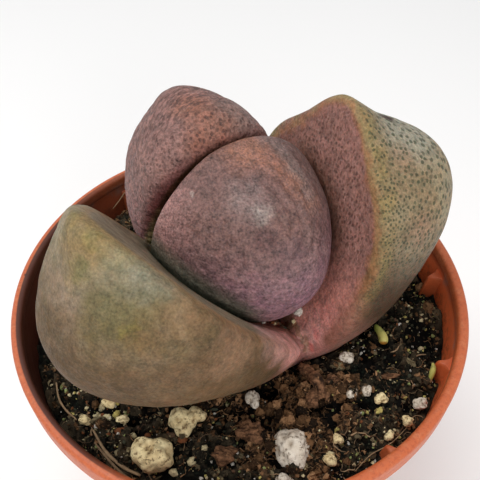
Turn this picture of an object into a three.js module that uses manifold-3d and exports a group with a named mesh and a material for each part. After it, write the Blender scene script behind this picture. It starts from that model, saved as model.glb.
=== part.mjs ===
// A split rock plant, the purple form of a stone-like succulent, in a small plastic pot.
// One old pair of leaves lies open like a split ball, and the new pair grows out of the split,
// turned a quarter. Millimetres, +Z up. The origin is the middle of the pot's foot.

import * as THREE from 'three';
import { mergeVertices } from 'three/addons/utils/BufferGeometryUtils.js';
import Module from 'manifold-3d';

// Pot
const POT_HEIGHT = 56;
const RIM_RADIUS = 32.5;
const RIM_BAND = 4;
const LIP_WIDTH = 1.5;
const BODY_TOP_RADIUS = 31.8;
const FOOT_RADIUS = 23.6;
const WALL = 1.1;
const FLOOR = 1.8;
const HOLE_RADIUS = 2.6;
const HOLE_RING = 14.5;
const HOLE_COUNT = 6;
const RIB_COUNT = 7;
const RIB_FIRST_ANGLE = -51;
const RIB_STEP = 30;
const RIB_WIDTH = 1.7;
const RIB_REACH = 1.7;
const RIB_TOP_BELOW_RIM = 3.1;
const RIB_HEIGHT = 7;

// Soil and the stem in it
const SOIL_BELOW_RIM = 5;
const SOIL_LEVEL = POT_HEIGHT - SOIL_BELOW_RIM;
const STEM_AT = new THREE.Vector2(2.9, 2.2);
const STEM_RADIUS = 3;
const ROOT_RADIUS = 5;
const ROOT_TIP_LEVEL = 12;

// Clearances between pieces that touch on the plant
const GAP = 0.3;
const SEAT_GAP = 0.38;

// The leaves. A leaf is a bulging body cut off by its flat face. 'middle' is the middle of the face
// and the face looks towards 'azimuth', leaning 'tilt' degrees from level. 'front' and 'behind' are its
// half widths, 'up' and 'down' its reach to the tip and to the base, 'deep' the bulge behind the face,
// and 'bluntness' squares off the face outline and the profile. A bump is a rounded corner: how far it
// stands out, how wide it is, and its direction, turned back from the tip and sideways, in radians.
const OLD_RIGHT = {
  middle: new THREE.Vector3(9.7, -0.2, POT_HEIGHT + 10.9),
  azimuth: -152.9, tilt: 72.2, roll: 0.9,
  front: 11.6, behind: 17.3, up: 13.5, down: 18.3, deep: 14.4, proud: 2.2, faceDepth: 1,
  bluntness: [2.44, 2.18], edge: 0.5, hollow: 0.9,
  bumps: [
    { height: 0.43, width: 0.07, back: -0.23, side: 0.22 },
    { height: 0.37, width: 0.17, back: 0.77, side: 0.01 },
  ],
};
const OLD_LEFT = {
  middle: new THREE.Vector3(-6.7, -8.7, POT_HEIGHT + 15),
  azimuth: 37.8, tilt: 54.8, roll: 0.4,
  front: 14.2, behind: 9.7, up: 14.3, down: 23.8, deep: 11.8, proud: 2.2, faceDepth: 1,
  bluntness: [3.16, 1.88], edge: 1, hollow: 0.6,
  bumps: [
    { height: 0.33, width: 0.05, back: -0.11, side: 0 },
    { height: 0.49, width: 0.2, back: 0.98, side: -0.08 },
  ],
};

// The new pair meets in one upright plane, the split, through this point.
const SPLIT_MIDDLE = new THREE.Vector3(-1.4, 2.3, POT_HEIGHT + 13.3);
const SPLIT_AZIMUTH = 120.1;
const SPLIT_LEAN = 3.8;
const NEW_FRONT = {
  middle: SPLIT_MIDDLE,
  azimuth: SPLIT_AZIMUTH, tilt: 90 - SPLIT_LEAN, roll: 0,
  front: 11.9, behind: 11.9, up: 12.7, down: 12.7, deep: 17.2, proud: 17.2, faceDepth: -0.6,
  bluntness: [2, 2], edge: 0.7, hollow: 0,
  bumps: [],
};
const NEW_BACK = {
  middle: new THREE.Vector3(-2.8, 1.4, POT_HEIGHT + 12.8),
  azimuth: SPLIT_AZIMUTH - 180, tilt: 90 + SPLIT_LEAN, roll: 0,
  front: 10.4, behind: 10.4, up: 16.3, down: 16.3, deep: 16, proud: 16, faceDepth: 2.1,
  bluntness: [2, 2], edge: 0.7, hollow: 0,
  bumps: [{ height: 0.05, width: 0.04, back: 0.54, side: -0.05 }],
  shouldered: true,
};
const SHOULDER_SLOPE = 1.5;
const OLD_FACE_GIVE = 1.7;
const LEAF_CORE_DEPTH = 6;

// Where the old leaves meet: an upright plane, with a shallow floor of leaf base on either side
const JOIN_AZIMUTH = 28;
const JOIN_OFFSET = 3.8;
const JOIN_LEVEL = POT_HEIGHT - 2;
const JOIN_FLOOR_SLOPE = 35;
const JOIN_FILLET = 1.1;

// How finely the pieces are cut
const POT_SECTORS = 64;
const SOIL_SECTORS = 48;
const SOIL_RINGS = 13;
const LEAF_SECTORS = 40;
const FACE_RINGS = 6;
const BACK_RINGS = 12;
const FACE_RING_POWER = 0.8;

const wasm = await Module();
wasm.setup();

function radians(degrees) {
  return THREE.MathUtils.degToRad(degrees);
}

function toSolid(geometry) {
  const bare = geometry.clone();
  bare.deleteAttribute('normal');
  bare.deleteAttribute('uv');
  const merged = mergeVertices(bare, 1e-4);
  return new wasm.Manifold(new wasm.Mesh({
    numProp: 3,
    vertProperties: new Float32Array(merged.attributes.position.array),
    triVerts: new Uint32Array(merged.index.array),
  }));
}

function toGeometry(solid) {
  const mesh = solid.getMesh();
  const geometry = new THREE.BufferGeometry();
  geometry.setAttribute('position', new THREE.BufferAttribute(mesh.vertProperties, 3));
  geometry.setIndex(new THREE.BufferAttribute(mesh.triVerts, 1));
  geometry.computeVertexNormals();
  return geometry;
}

// A small repeatable random generator, so that every run gives the same grains.
function makeRandom(seed) {
  let state = seed;
  return () => {
    state = (state + 0x6d2b79f5) | 0;
    let t = Math.imul(state ^ (state >>> 15), 1 | state);
    t = (t + Math.imul(t ^ (t >>> 7), 61 | t)) ^ t;
    return ((t ^ (t >>> 14)) >>> 0) / 4294967296;
  };
}

// The larger of several distances, with the corner between them rounded over.
function roundedMax(values, radius) {
  const top = Math.max(...values);
  let sum = 0;
  for (const value of values) {
    sum += Math.exp((value - top) / radius);
  }
  return top + radius * Math.log(sum);
}

function roundedMin(values, radius) {
  return -roundedMax(values.map((value) => -value), radius);
}

// Pot

function outerWallRadius(z) {
  const slope = (BODY_TOP_RADIUS - FOOT_RADIUS) / (POT_HEIGHT - RIM_BAND);
  return FOOT_RADIUS + slope * z;
}

function innerWallRadius(z) {
  return outerWallRadius(z) - WALL;
}

function potShell(segments) {
  const rimInner = RIM_RADIUS - LIP_WIDTH;
  const bandFoot = POT_HEIGHT - RIM_BAND;
  const profile = [
    [0, 0],
    [FOOT_RADIUS - 0.6, 0],
    [FOOT_RADIUS, 0.6],
    [outerWallRadius(bandFoot), bandFoot],
    [RIM_RADIUS - 0.3, bandFoot + 0.3],
    [RIM_RADIUS, bandFoot + 0.9],
    [RIM_RADIUS, POT_HEIGHT - 0.5],
    [RIM_RADIUS - 0.4, POT_HEIGHT],
    [rimInner + 0.4, POT_HEIGHT],
    [rimInner, POT_HEIGHT - 0.5],
    [innerWallRadius(POT_HEIGHT - 1.6), POT_HEIGHT - 1.6],
    [innerWallRadius(FLOOR), FLOOR],
    [0, FLOOR],
  ];
  return new THREE.LatheGeometry(profile.map(([r, z]) => new THREE.Vector2(r, z)), segments)
    .rotateX(Math.PI / 2);
}

// One stacking rib, upright on the sloping inner wall; 'spare' widens it to clear its space in the soil.
function rib(index, spare) {
  const top = POT_HEIGHT - RIB_TOP_BELOW_RIM + spare;
  const bottom = top - RIB_HEIGHT - 2 * spare;
  const inside = innerWallRadius(top) - RIB_REACH - spare;
  const box = new THREE.BoxGeometry(1, RIB_WIDTH + 2 * spare, top - bottom);
  box.translate(0, 0, (top + bottom) / 2);
  const position = box.attributes.position;
  for (let i = 0; i < position.count; i += 1) {
    const outside = innerWallRadius(position.getZ(i)) + WALL / 2;
    position.setX(i, position.getX(i) > 0 ? outside : inside);
  }
  box.rotateZ(radians(RIB_FIRST_ANGLE + index * RIB_STEP));
  return toSolid(box);
}

function makePot() {
  let solid = toSolid(potShell(POT_SECTORS));
  for (let i = 0; i < RIB_COUNT; i += 1) {
    solid = solid.add(rib(i, 0));
  }
  for (let i = 0; i < HOLE_COUNT; i += 1) {
    const angle = (i * 2 * Math.PI) / HOLE_COUNT;
    const hole = new THREE.CylinderGeometry(HOLE_RADIUS, HOLE_RADIUS, 3 * FLOOR, 16);
    hole.rotateX(Math.PI / 2);
    hole.translate(HOLE_RING * Math.cos(angle), HOLE_RING * Math.sin(angle), FLOOR / 2);
    solid = solid.subtract(toSolid(hole));
  }
  return solid;
}

// Leaves

// A direction turned from one axis towards another that is square to it.
function blend(from, towards, angle) {
  return from.clone().multiplyScalar(Math.cos(angle)).addScaledVector(towards, Math.sin(angle));
}

// A leaf's own directions: out of its face, up the face to the tip, and across it to the back.
function leafAxes(leaf) {
  const a = radians(leaf.azimuth);
  const t = radians(leaf.tilt);
  const r = radians(leaf.roll);
  const out = new THREE.Vector3(Math.cos(a) * Math.sin(t), Math.sin(a) * Math.sin(t), Math.cos(t));
  const uphill = new THREE.Vector3(-Math.cos(a) * Math.cos(t), -Math.sin(a) * Math.cos(t), Math.sin(t));
  const level = new THREE.Vector3().crossVectors(uphill, out);
  if (level.y < 0) {
    level.negate();
  }
  const up = blend(uphill, level, r);
  const across = blend(level, uphill, -r);
  return { out, up, across };
}

// How far the leaf's bulging body reaches from its centre in a direction of unit length.
function bodyReach(leaf, x, y, z) {
  const [facePower, profilePower] = leaf.bluntness;
  const width = x < 0 ? leaf.front : leaf.behind;
  const height = y > 0 ? leaf.up : leaf.down;
  const depth = z > 0 ? leaf.proud : leaf.deep;
  const profile = (Math.abs(y / height) ** profilePower + Math.abs(z / depth) ** profilePower)
    ** (1 / profilePower);
  let reach = (Math.abs(x / width) ** facePower + profile ** facePower) ** (-1 / facePower);
  for (const bump of leaf.bumps) {
    const dot = x * Math.sin(bump.side)
      + y * Math.cos(bump.side) * Math.cos(bump.back)
      - z * Math.cos(bump.side) * Math.sin(bump.back);
    reach *= 1 + bump.height * Math.exp((dot - 1) / bump.width);
  }
  return reach;
}

// Distance outside the bulging body, negative inside it.
function outsideBody(leaf, axes, point) {
  const centre = leaf.middle.clone().addScaledVector(axes.out, -leaf.faceDepth);
  const offset = point.clone().sub(centre);
  const length = Math.max(offset.length(), 1e-6);
  const x = offset.dot(axes.across) / length;
  const y = offset.dot(axes.up) / length;
  const z = offset.dot(axes.out) / length;
  return length - bodyReach(leaf, x, y, z);
}

// Height over the leaf's face, which is dished a little in its middle.
function aboveFace(leaf, axes, point) {
  const offset = point.clone().sub(leaf.middle);
  const x = offset.dot(axes.across) / leaf.front;
  const y = offset.dot(axes.up) / leaf.up;
  return offset.dot(axes.out) + leaf.hollow * Math.exp(-1.5 * (x * x + y * y));
}

const joinDirection = new THREE.Vector3(1, 0, 0).applyAxisAngle(
  new THREE.Vector3(0, 0, 1),
  radians(JOIN_AZIMUTH),
);

// The back leaf is the taller one, and its shoulder comes down to the front leaf's outline at the split.
function overShoulder(leaf, axes, point) {
  if (!leaf.shouldered) {
    return -leaf.deep;
  }
  const offset = point.clone().sub(SPLIT_MIDDLE);
  const x = offset.dot(axes.across);
  const y = offset.dot(axes.up);
  const beyond = 1 - 1 / Math.max(Math.hypot(x / NEW_FRONT.front, y / NEW_FRONT.up), 1e-6);
  return Math.hypot(x, y) * beyond + SHOULDER_SLOPE * offset.dot(axes.out);
}

// Distance outside a new leaf: its body, the split, and the old faces that it presses a little into.
function outsideNewLeaf(leaf, point) {
  const axes = leafAxes(leaf);
  const split = point.clone().sub(SPLIT_MIDDLE).dot(axes.out) + GAP / 2;
  const shoulder = overShoulder(leaf, axes, point);
  const pressed = [OLD_RIGHT, OLD_LEFT].map((old) => {
    const oldAxes = leafAxes(old);
    return -point.clone().sub(old.middle).dot(oldAxes.out) - OLD_FACE_GIVE;
  });
  return roundedMax([outsideBody(leaf, axes, point), split, shoulder, ...pressed], leaf.edge);
}

// Distance outside an old leaf: its body, its face with the shallow floor at its base, the join with
// its partner, and the seat that the new pair has pressed into the face.
function outsideOldLeaf(leaf, point) {
  const axes = leafAxes(leaf);
  const side = Math.sign(leaf.middle.dot(joinDirection) - JOIN_OFFSET);
  const along = point.dot(joinDirection) - JOIN_OFFSET;
  const slope = radians(JOIN_FLOOR_SLOPE);
  const floor = (point.z - JOIN_LEVEL) * Math.cos(slope) - side * along * Math.sin(slope);
  const face = roundedMin([aboveFace(leaf, axes, point), floor], JOIN_FILLET);
  const join = GAP / 2 - side * along;
  const seat = SEAT_GAP - Math.min(outsideNewLeaf(NEW_FRONT, point), outsideNewLeaf(NEW_BACK, point));
  return Math.max(roundedMax([outsideBody(leaf, axes, point), face, seat], leaf.edge), join);
}

// The first place along a line from inside the leaf where it comes out.
function leafSurface(outside, start, direction, spare) {
  let near = 0;
  let far = 45;
  for (let i = 0; i < 26; i += 1) {
    const middle = (near + far) / 2;
    if (outside(start.clone().addScaledVector(direction, middle)) < spare) {
      near = middle;
    } else {
      far = middle;
    }
  }
  return start.clone().addScaledVector(direction, near);
}

// How far the face's margin lies from its middle in one direction across the face.
function marginReach(leaf, axes, direction) {
  let near = 0;
  let far = 40;
  for (let i = 0; i < 22; i += 1) {
    const middle = (near + far) / 2;
    const point = leaf.middle.clone().addScaledVector(direction, middle);
    if (Math.max(outsideBody(leaf, axes, point), overShoulder(leaf, axes, point)) < 0) {
      near = middle;
    } else {
      far = middle;
    }
  }
  return near;
}

// A closed leaf: rings of points around the face's outward direction, with one ring on the margin.
function leafGeometry(leaf, outside, spare = 0) {
  const axes = leafAxes(leaf);
  const core = leaf.middle.clone().addScaledVector(axes.out, -LEAF_CORE_DEPTH);
  const rings = FACE_RINGS + BACK_RINGS;
  const points = [leafSurface(outside, core, axes.out, spare)];
  for (let ring = 1; ring < rings; ring += 1) {
    for (let sector = 0; sector < LEAF_SECTORS; sector += 1) {
      const turn = (sector * 2 * Math.PI) / LEAF_SECTORS;
      const flat = blend(axes.across, axes.up, turn);
      const margin = marginReach(leaf, axes, flat);
      const marginAngle = Math.atan2(margin, LEAF_CORE_DEPTH);
      let angle = 0;
      if (ring <= FACE_RINGS) {
        angle = Math.atan2(margin * (ring / FACE_RINGS) ** FACE_RING_POWER, LEAF_CORE_DEPTH);
      } else {
        angle = marginAngle + ((Math.PI - marginAngle) * (ring - FACE_RINGS)) / BACK_RINGS;
      }
      const direction = blend(axes.out, flat, angle);
      points.push(leafSurface(outside, core, direction, spare));
    }
  }
  points.push(leafSurface(outside, core, axes.out.clone().negate(), spare));

  const index = [];
  const last = points.length - 1;
  const at = (ring, sector) => 1 + (ring - 1) * LEAF_SECTORS + (sector % LEAF_SECTORS);
  for (let sector = 0; sector < LEAF_SECTORS; sector += 1) {
    index.push(0, at(1, sector), at(1, sector + 1));
    for (let ring = 1; ring < rings - 1; ring += 1) {
      index.push(at(ring, sector), at(ring + 1, sector), at(ring + 1, sector + 1));
      index.push(at(ring, sector), at(ring + 1, sector + 1), at(ring, sector + 1));
    }
    index.push(at(rings - 1, sector), last, at(rings - 1, sector + 1));
  }
  // The rings run the other way round where the three directions are left-handed.
  const handed = new THREE.Vector3().crossVectors(axes.across, axes.up).dot(axes.out);
  if (handed < 0) {
    index.reverse();
  }
  const geometry = new THREE.BufferGeometry();
  const numbers = points.flatMap((point) => point.toArray());
  geometry.setAttribute('position', new THREE.Float32BufferAttribute(numbers, 3));
  geometry.setIndex(index);
  return geometry;
}

function newLeafSolid(leaf, spare) {
  return toSolid(leafGeometry(leaf, (point) => outsideNewLeaf(leaf, point), spare));
}

function oldLeafSolid(leaf, spare) {
  return toSolid(leafGeometry(leaf, (point) => outsideOldLeaf(leaf, point), spare));
}

// Stem: a short neck between the old leaves, which carries both pairs, and a tapering root.

function stemBlank(spare) {
  const neck = STEM_RADIUS + spare;
  const root = ROOT_RADIUS + spare;
  const profile = [
    [0, ROOT_TIP_LEVEL - spare],
    [0.8 + spare, ROOT_TIP_LEVEL - spare],
    [root * 0.45, ROOT_TIP_LEVEL + 14],
    [root, SOIL_LEVEL - 12],
    [root, SOIL_LEVEL - 6],
    [neck, SOIL_LEVEL - 2],
    [neck, SOIL_LEVEL + 12 + spare],
    [0, SOIL_LEVEL + 12 + spare],
  ];
  const lathe = new THREE.LatheGeometry(profile.map(([r, z]) => new THREE.Vector2(r, z)), 20);
  return toSolid(lathe.rotateX(Math.PI / 2).translate(STEM_AT.x, STEM_AT.y, 0));
}

// Soil

// The soil's surface: low swells with crumbs on them, a little lower along the pot's wall.
function soilHeight(x, y) {
  const swell = 0.35 * Math.sin(0.21 * x + 1.3) * Math.cos(0.17 * y - 0.4);
  const crumbs = 0.3 * Math.sin(1.13 * x + 0.7 * y) * Math.sin(0.9 * y - 0.8 * x + 1.9);
  const edge = -0.5 * THREE.MathUtils.smoothstep(Math.hypot(x, y), 25, 30);
  return SOIL_LEVEL + swell + crumbs + edge;
}

function soilBlank() {
  const sectors = SOIL_SECTORS;
  const rings = SOIL_RINGS;
  const top = SOIL_LEVEL - 0.5;
  const points = [[0, 0, soilHeight(0, 0)]];
  const rim = innerWallRadius(top) - GAP;
  const foot = innerWallRadius(FLOOR) - GAP;
  for (let ring = 1; ring <= rings; ring += 1) {
    for (let sector = 0; sector < sectors; sector += 1) {
      const angle = (sector * 2 * Math.PI) / sectors;
      const r = (rim * ring) / rings;
      const x = r * Math.cos(angle);
      const y = r * Math.sin(angle);
      points.push([x, y, soilHeight(x, y)]);
    }
  }
  for (let sector = 0; sector < sectors; sector += 1) {
    const angle = (sector * 2 * Math.PI) / sectors;
    points.push([foot * Math.cos(angle), foot * Math.sin(angle), FLOOR + GAP]);
  }
  points.push([0, 0, FLOOR + GAP]);

  const index = [];
  const at = (ring, sector) => 1 + (ring - 1) * sectors + (sector % sectors);
  const last = points.length - 1;
  for (let sector = 0; sector < sectors; sector += 1) {
    index.push(0, at(1, sector), at(1, sector + 1));
    for (let ring = 1; ring <= rings; ring += 1) {
      index.push(at(ring, sector), at(ring + 1, sector), at(ring + 1, sector + 1));
      index.push(at(ring, sector), at(ring + 1, sector + 1), at(ring, sector + 1));
    }
    index.push(at(rings + 1, sector), last, at(rings + 1, sector + 1));
  }
  const geometry = new THREE.BufferGeometry();
  geometry.setAttribute('position', new THREE.Float32BufferAttribute(points.flat(), 3));
  geometry.setIndex(index);
  return toSolid(geometry);
}

// Grains of perlite, pumice and bark that lie half sunk in the soil. Each has a place and three sizes.
const GRAINS = [
  { kind: 'pumice', x: -6.9, y: -19, size: [4.9, 3.9, 3.6] },
  { kind: 'pumice', x: -11, y: -23.6, size: [5.1, 4.4, 4.2] },
  { kind: 'perlite', x: 6.6, y: -22.7, size: [4.9, 4.5, 4.2] },
  { kind: 'perlite', x: 5.4, y: -27, size: [2.6, 2, 2] },
  { kind: 'perlite', x: 14.9, y: -9.4, size: [1.9, 1.7, 2.6] },
  { kind: 'perlite', x: 15, y: -14.8, size: [1.3, 2, 1.4] },
  { kind: 'perlite', x: 17.1, y: -14.5, size: [1.4, 1.4, 1.4] },
  { kind: 'pumice', x: 18.9, y: -15.6, size: [1.7, 1.7, 1.5] },
  { kind: 'perlite', x: 1.7, y: -15.6, size: [2.7, 1.8, 1.8] },
  { kind: 'pumice', x: -17.6, y: -16.2, size: [2, 1.7, 1.6] },
  { kind: 'pumice', x: -15.3, y: -18.6, size: [1.7, 1.5, 1.5] },
  { kind: 'pumice', x: -20.3, y: -18.6, size: [1.4, 1.3, 1.3] },
  { kind: 'perlite', x: 24.2, y: -16, size: [1.6, 1.9, 1.6] },
  { kind: 'pumice', x: 22, y: -18.7, size: [1.4, 1.3, 1.3] },
  { kind: 'pumice', x: 19.3, y: -20.6, size: [1.4, 1.3, 1.3] },
  { kind: 'pellet', x: 20.3, y: -5.1, size: [1.6, 3.4, 1.8] },
  { kind: 'pumice', x: 12.6, y: -21.4, size: [1.4, 1.4, 1.3] },
  { kind: 'pumice', x: 11.2, y: -24, size: [1.9, 1.4, 1.4] },
  { kind: 'bark', x: 9.6, y: -15.2, size: [3.4, 4.2, 2.4] },
  { kind: 'bark', x: 12.6, y: -13, size: [2, 1.7, 1.6] },
  { kind: 'bark', x: 1.4, y: -20.2, size: [3.8, 3.4, 2.4] },
  { kind: 'bark', x: -2, y: -23.6, size: [3, 2.4, 2] },
  { kind: 'bark', x: 20.6, y: -12, size: [2.6, 0.9, 0.9] },
];
const HIDDEN_GRAINS = 11;
const HIDDEN_SEED = 20;

// The same mix carried round the back of the pot, between the leaves and the wall.
function hiddenGrains() {
  const random = makeRandom(HIDDEN_SEED);
  const kinds = ['perlite', 'pumice', 'bark'];
  const grains = [];
  for (let i = 0; i < HIDDEN_GRAINS; i += 1) {
    const angle = radians(18 + (i * 142) / (HIDDEN_GRAINS - 1) + 6 * (random() - 0.5));
    const radius = 27.2 - 1.2 * random();
    const size = 1.5 + 1.3 * random();
    grains.push({
      kind: kinds[i % kinds.length],
      x: radius * Math.cos(angle),
      y: radius * Math.sin(angle),
      size: [size, size * (0.8 + 0.3 * random()), size * 0.85],
    });
  }
  return grains;
}

function grainSolid(grain, number, spare) {
  const random = makeRandom(100 + number);
  const turn = random() * Math.PI;
  const phase = [random() * 6, random() * 6, random() * 6];
  const stone = new THREE.IcosahedronGeometry(1, 1);
  const position = stone.attributes.position;
  const [width, length, height] = grain.size;
  const lift = grain.size[2] * 0.16;
  for (let i = 0; i < position.count; i += 1) {
    const p = new THREE.Vector3().fromBufferAttribute(position, i);
    const knob = 1 + 0.12 * Math.sin(2.6 * p.x + phase[0]) * Math.cos(2.9 * p.y + phase[1])
      + 0.06 * Math.sin(5 * p.z + phase[2]);
    p.set(
      p.x * knob * (width / 2 + spare),
      p.y * knob * (length / 2 + spare),
      p.z * knob * (height / 2 + spare),
    );
    position.setXYZ(i, p.x, p.y, p.z);
  }
  stone.rotateZ(grain.kind === 'pellet' || grain.kind === 'bark' ? 0 : turn);
  stone.translate(grain.x, grain.y, soilHeight(grain.x, grain.y) + lift);
  return toSolid(stone);
}

// Materials
const COLOURS = {
  pot: new THREE.MeshStandardMaterial({ color: 0xc9663f, roughness: 0.55, metalness: 0 }),
  soil: new THREE.MeshStandardMaterial({ color: 0x2a231c, roughness: 1, metalness: 0 }),
  stem: new THREE.MeshStandardMaterial({ color: 0x8a6a4c, roughness: 0.9, metalness: 0 }),
  oldLeaf: new THREE.MeshStandardMaterial({ color: 0x8a8266, roughness: 0.6, metalness: 0 }),
  newLeaf: new THREE.MeshStandardMaterial({ color: 0x8d6e68, roughness: 0.55, metalness: 0 }),
  perlite: new THREE.MeshStandardMaterial({ color: 0xd9cfc2, roughness: 0.9, metalness: 0 }),
  pumice: new THREE.MeshStandardMaterial({ color: 0xc9b489, roughness: 0.95, metalness: 0 }),
  bark: new THREE.MeshStandardMaterial({ color: 0x4d3222, roughness: 1, metalness: 0 }),
  pellet: new THREE.MeshStandardMaterial({ color: 0xb7b25a, roughness: 0.7, metalness: 0 }),
};

const plant = new THREE.Group();

function place(name, solid, material) {
  const mesh = new THREE.Mesh(toGeometry(solid), material);
  mesh.name = name;
  plant.add(mesh);
}

// The whole plant in its pot
const newFront = newLeafSolid(NEW_FRONT, 0);
const newBack = newLeafSolid(NEW_BACK, 0);
const wideStem = stemBlank(GAP);
const oldRight = oldLeafSolid(OLD_RIGHT, 0).subtract(wideStem);
const oldLeft = oldLeafSolid(OLD_LEFT, 0).subtract(wideStem);
const stem = stemBlank(0)
  .subtract(newLeafSolid(NEW_FRONT, SEAT_GAP))
  .subtract(newLeafSolid(NEW_BACK, SEAT_GAP));

let soil = soilBlank()
  .subtract(wideStem)
  .subtract(oldLeafSolid(OLD_RIGHT, SEAT_GAP))
  .subtract(oldLeafSolid(OLD_LEFT, SEAT_GAP));
for (let i = 0; i < RIB_COUNT; i += 1) {
  soil = soil.subtract(rib(i, GAP));
}

const counts = {};
[...GRAINS, ...hiddenGrains()].forEach((grain, number) => {
  counts[grain.kind] = (counts[grain.kind] ?? 0) + 1;
  const label = String(counts[grain.kind]).padStart(2, '0');
  soil = soil.subtract(grainSolid(grain, number, SEAT_GAP));
  place(`${grain.kind}_${label}`, grainSolid(grain, number, 0), COLOURS[grain.kind]);
});

place('pot', makePot(), COLOURS.pot);
place('soil', soil, COLOURS.soil);
place('stem', stem, COLOURS.stem);
place('old_leaf_right', oldRight, COLOURS.oldLeaf);
place('old_leaf_left', oldLeft, COLOURS.oldLeaf);
place('new_leaf_front', newFront, COLOURS.newLeaf);
place('new_leaf_back', newBack, COLOURS.newLeaf);

export default plant;
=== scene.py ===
import math
from itertools import product

import bmesh
import bpy
import numpy as np
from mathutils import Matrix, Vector


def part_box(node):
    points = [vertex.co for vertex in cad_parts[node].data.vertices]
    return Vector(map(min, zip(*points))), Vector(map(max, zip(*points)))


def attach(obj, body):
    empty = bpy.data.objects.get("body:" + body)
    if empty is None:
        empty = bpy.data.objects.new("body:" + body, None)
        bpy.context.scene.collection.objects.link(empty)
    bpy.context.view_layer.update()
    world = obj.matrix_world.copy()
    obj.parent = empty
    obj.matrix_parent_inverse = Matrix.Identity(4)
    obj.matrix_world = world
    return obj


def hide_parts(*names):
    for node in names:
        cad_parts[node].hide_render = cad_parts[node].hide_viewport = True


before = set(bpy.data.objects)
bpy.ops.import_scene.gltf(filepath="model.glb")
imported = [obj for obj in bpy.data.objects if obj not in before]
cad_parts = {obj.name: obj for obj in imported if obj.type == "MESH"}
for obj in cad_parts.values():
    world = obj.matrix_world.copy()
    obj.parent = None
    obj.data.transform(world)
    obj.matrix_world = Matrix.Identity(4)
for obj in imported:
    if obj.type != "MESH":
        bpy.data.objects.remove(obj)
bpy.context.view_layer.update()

# A split rock plant in a small plastic pot, seen from in front and above.
# Lengths below are millimetres in the part's own frame; new_mesh turns them into metres.
MM = 0.001

# Pot
POT_HEIGHT = 56
RIM_RADIUS = 32.5
RIM_BAND = 4
LIP_WIDTH = 1.5
BODY_TOP_RADIUS = 31.8
FOOT_RADIUS = 23.6
FOOT_RING_INNER = 19.6
BASE_HOLLOW = 0.35
LEDGE_BELOW_RIM = 1.6
WALL = 1.1
FLOOR = 1.8
HOLE_RADIUS = 2.6
HOLE_RING = 14.5
HOLE_COUNT = 6
HOLE_SIDES = 28
RIB_COUNT = 7
RIB_FIRST_ANGLE = -51
RIB_STEP = 30
RIB_WIDTH = 1.7
RIB_REACH = 1.7
RIB_TOP_BELOW_RIM = 3.1
RIB_HEIGHT = 7
# How strongly the ribs take the stains of the pot's inside
RIB_INNER = 0.35
POT_SECTORS = 256
LONGEST_WALL_FACE = 4
SHARP_ANGLE = 40

# Soil
SOIL_LEVEL = 51
SOIL_WALL_GAP = 0.12
SOIL_SECTORS = 370
SOIL_RINGS = 150
SOIL_CLEAR_OF_LEAVES = 0.2
SINKING_STEP = 0.4
SINKING_STEPS = 16

# Leaves, in millimetres and degrees; the dressed ones differ from the solids by 1 to 2 mm
GAP = 0.3
OLD_RIGHT = dict(
    middle=(9.7, -0.2, POT_HEIGHT + 10.9), azimuth=-152.9, tilt=72.2, roll=0.9,
    front=11.6, behind=17.3, up=13.2, down=18.3, deep=14.4, proud=2.2, face_depth=1,
    bluntness=(2.44, 2.18), edge=0.5, hollow=0.9, shouldered=False,
    bumps=[(0.43, 0.07, -0.23, 0.22), (0.37, 0.17, 0.77, 0.01), (0.035, 0.06, 0.25, 0.1)],
)
OLD_LEFT = dict(
    middle=(-6.5, -8.6, POT_HEIGHT + 14.8), azimuth=42.5, tilt=55.8, roll=0.4,
    front=14.0, behind=10.0, up=14.3, down=23.2, deep=11.8, proud=2.2, face_depth=1,
    bluntness=(3.16, 1.88), edge=0.8, hollow=1.8, shouldered=False,
    bumps=[
        (0.33, 0.05, -0.11, 0), (0.49, 0.2, 0.98, -0.08), (0.05, 0.05, 0.28, -0.25), (0.03, 0.05, 0.3, 0.2),
    ],
)
SPLIT_MIDDLE = np.array([-1.4, 2.3, POT_HEIGHT + 13.3])
SPLIT_AZIMUTH = 120.1
SPLIT_LEAN = 3.8
NEW_FRONT = dict(
    middle=tuple(SPLIT_MIDDLE), azimuth=SPLIT_AZIMUTH, tilt=90 - SPLIT_LEAN, roll=0,
    front=12.5, behind=11.9, up=12.8, down=12.7, deep=17.2, proud=17.2, face_depth=-0.6,
    bluntness=(2, 2), edge=0.45, hollow=0, shouldered=False, bumps=[],
)
NEW_BACK = dict(
    middle=(-2.8, 1.4, POT_HEIGHT + 12.8), azimuth=SPLIT_AZIMUTH - 180, tilt=90 + SPLIT_LEAN, roll=0,
    front=10.4, behind=10.4, up=15.8, down=16.3, deep=15.8, proud=16, face_depth=2.1,
    bluntness=(2, 2), edge=0.7, hollow=0, shouldered=True,
    bumps=[(0.065, 0.03, 0.56, -0.05), (-0.03, 0.02, 0.75, -0.3)],
)
SHOULDER_SLOPE = 1.5
SHOULDER_SOFTNESS = 1.3
OLD_FACE_GIVE = 3.2
LEAF_CORE_DEPTH = 6
LEAF_SECTORS = 250
LEAF_BACK_RINGS = 88
OLD_FACE_RINGS = 46
NEW_FACE_RINGS = 18
# The map of a leaf's outside is true to size about two thirds of the way to its margin.
SKIN_MAP_SPREAD = 20
JOIN_AZIMUTH = math.radians(28)
JOIN_DIRECTION = np.array([math.cos(JOIN_AZIMUTH), math.sin(JOIN_AZIMUTH), 0])
JOIN_OFFSET = 3.8
JOIN_LEVEL = POT_HEIGHT - 2
JOIN_FLOOR_SLOPE = math.radians(35)
JOIN_FILLET = 1.1

# The dressed plant's leaves are grown together at the crease, where the solids have a gap.
CREASE_SOFTNESS = 0.8
BRIDGE = np.array([[5.0, -8.6, POT_HEIGHT - 5.0], [12.0, -5.6, POT_HEIGHT - 3.8]])
BRIDGE_RADIUS = 2.3
CREASE_DIP = 0.3
CREASE_LAP = 1.4
# The lowest point of the crease, at the front of the plant
CREASE_END = np.array([8.9, -9.6, POT_HEIGHT - 2.0])

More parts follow.
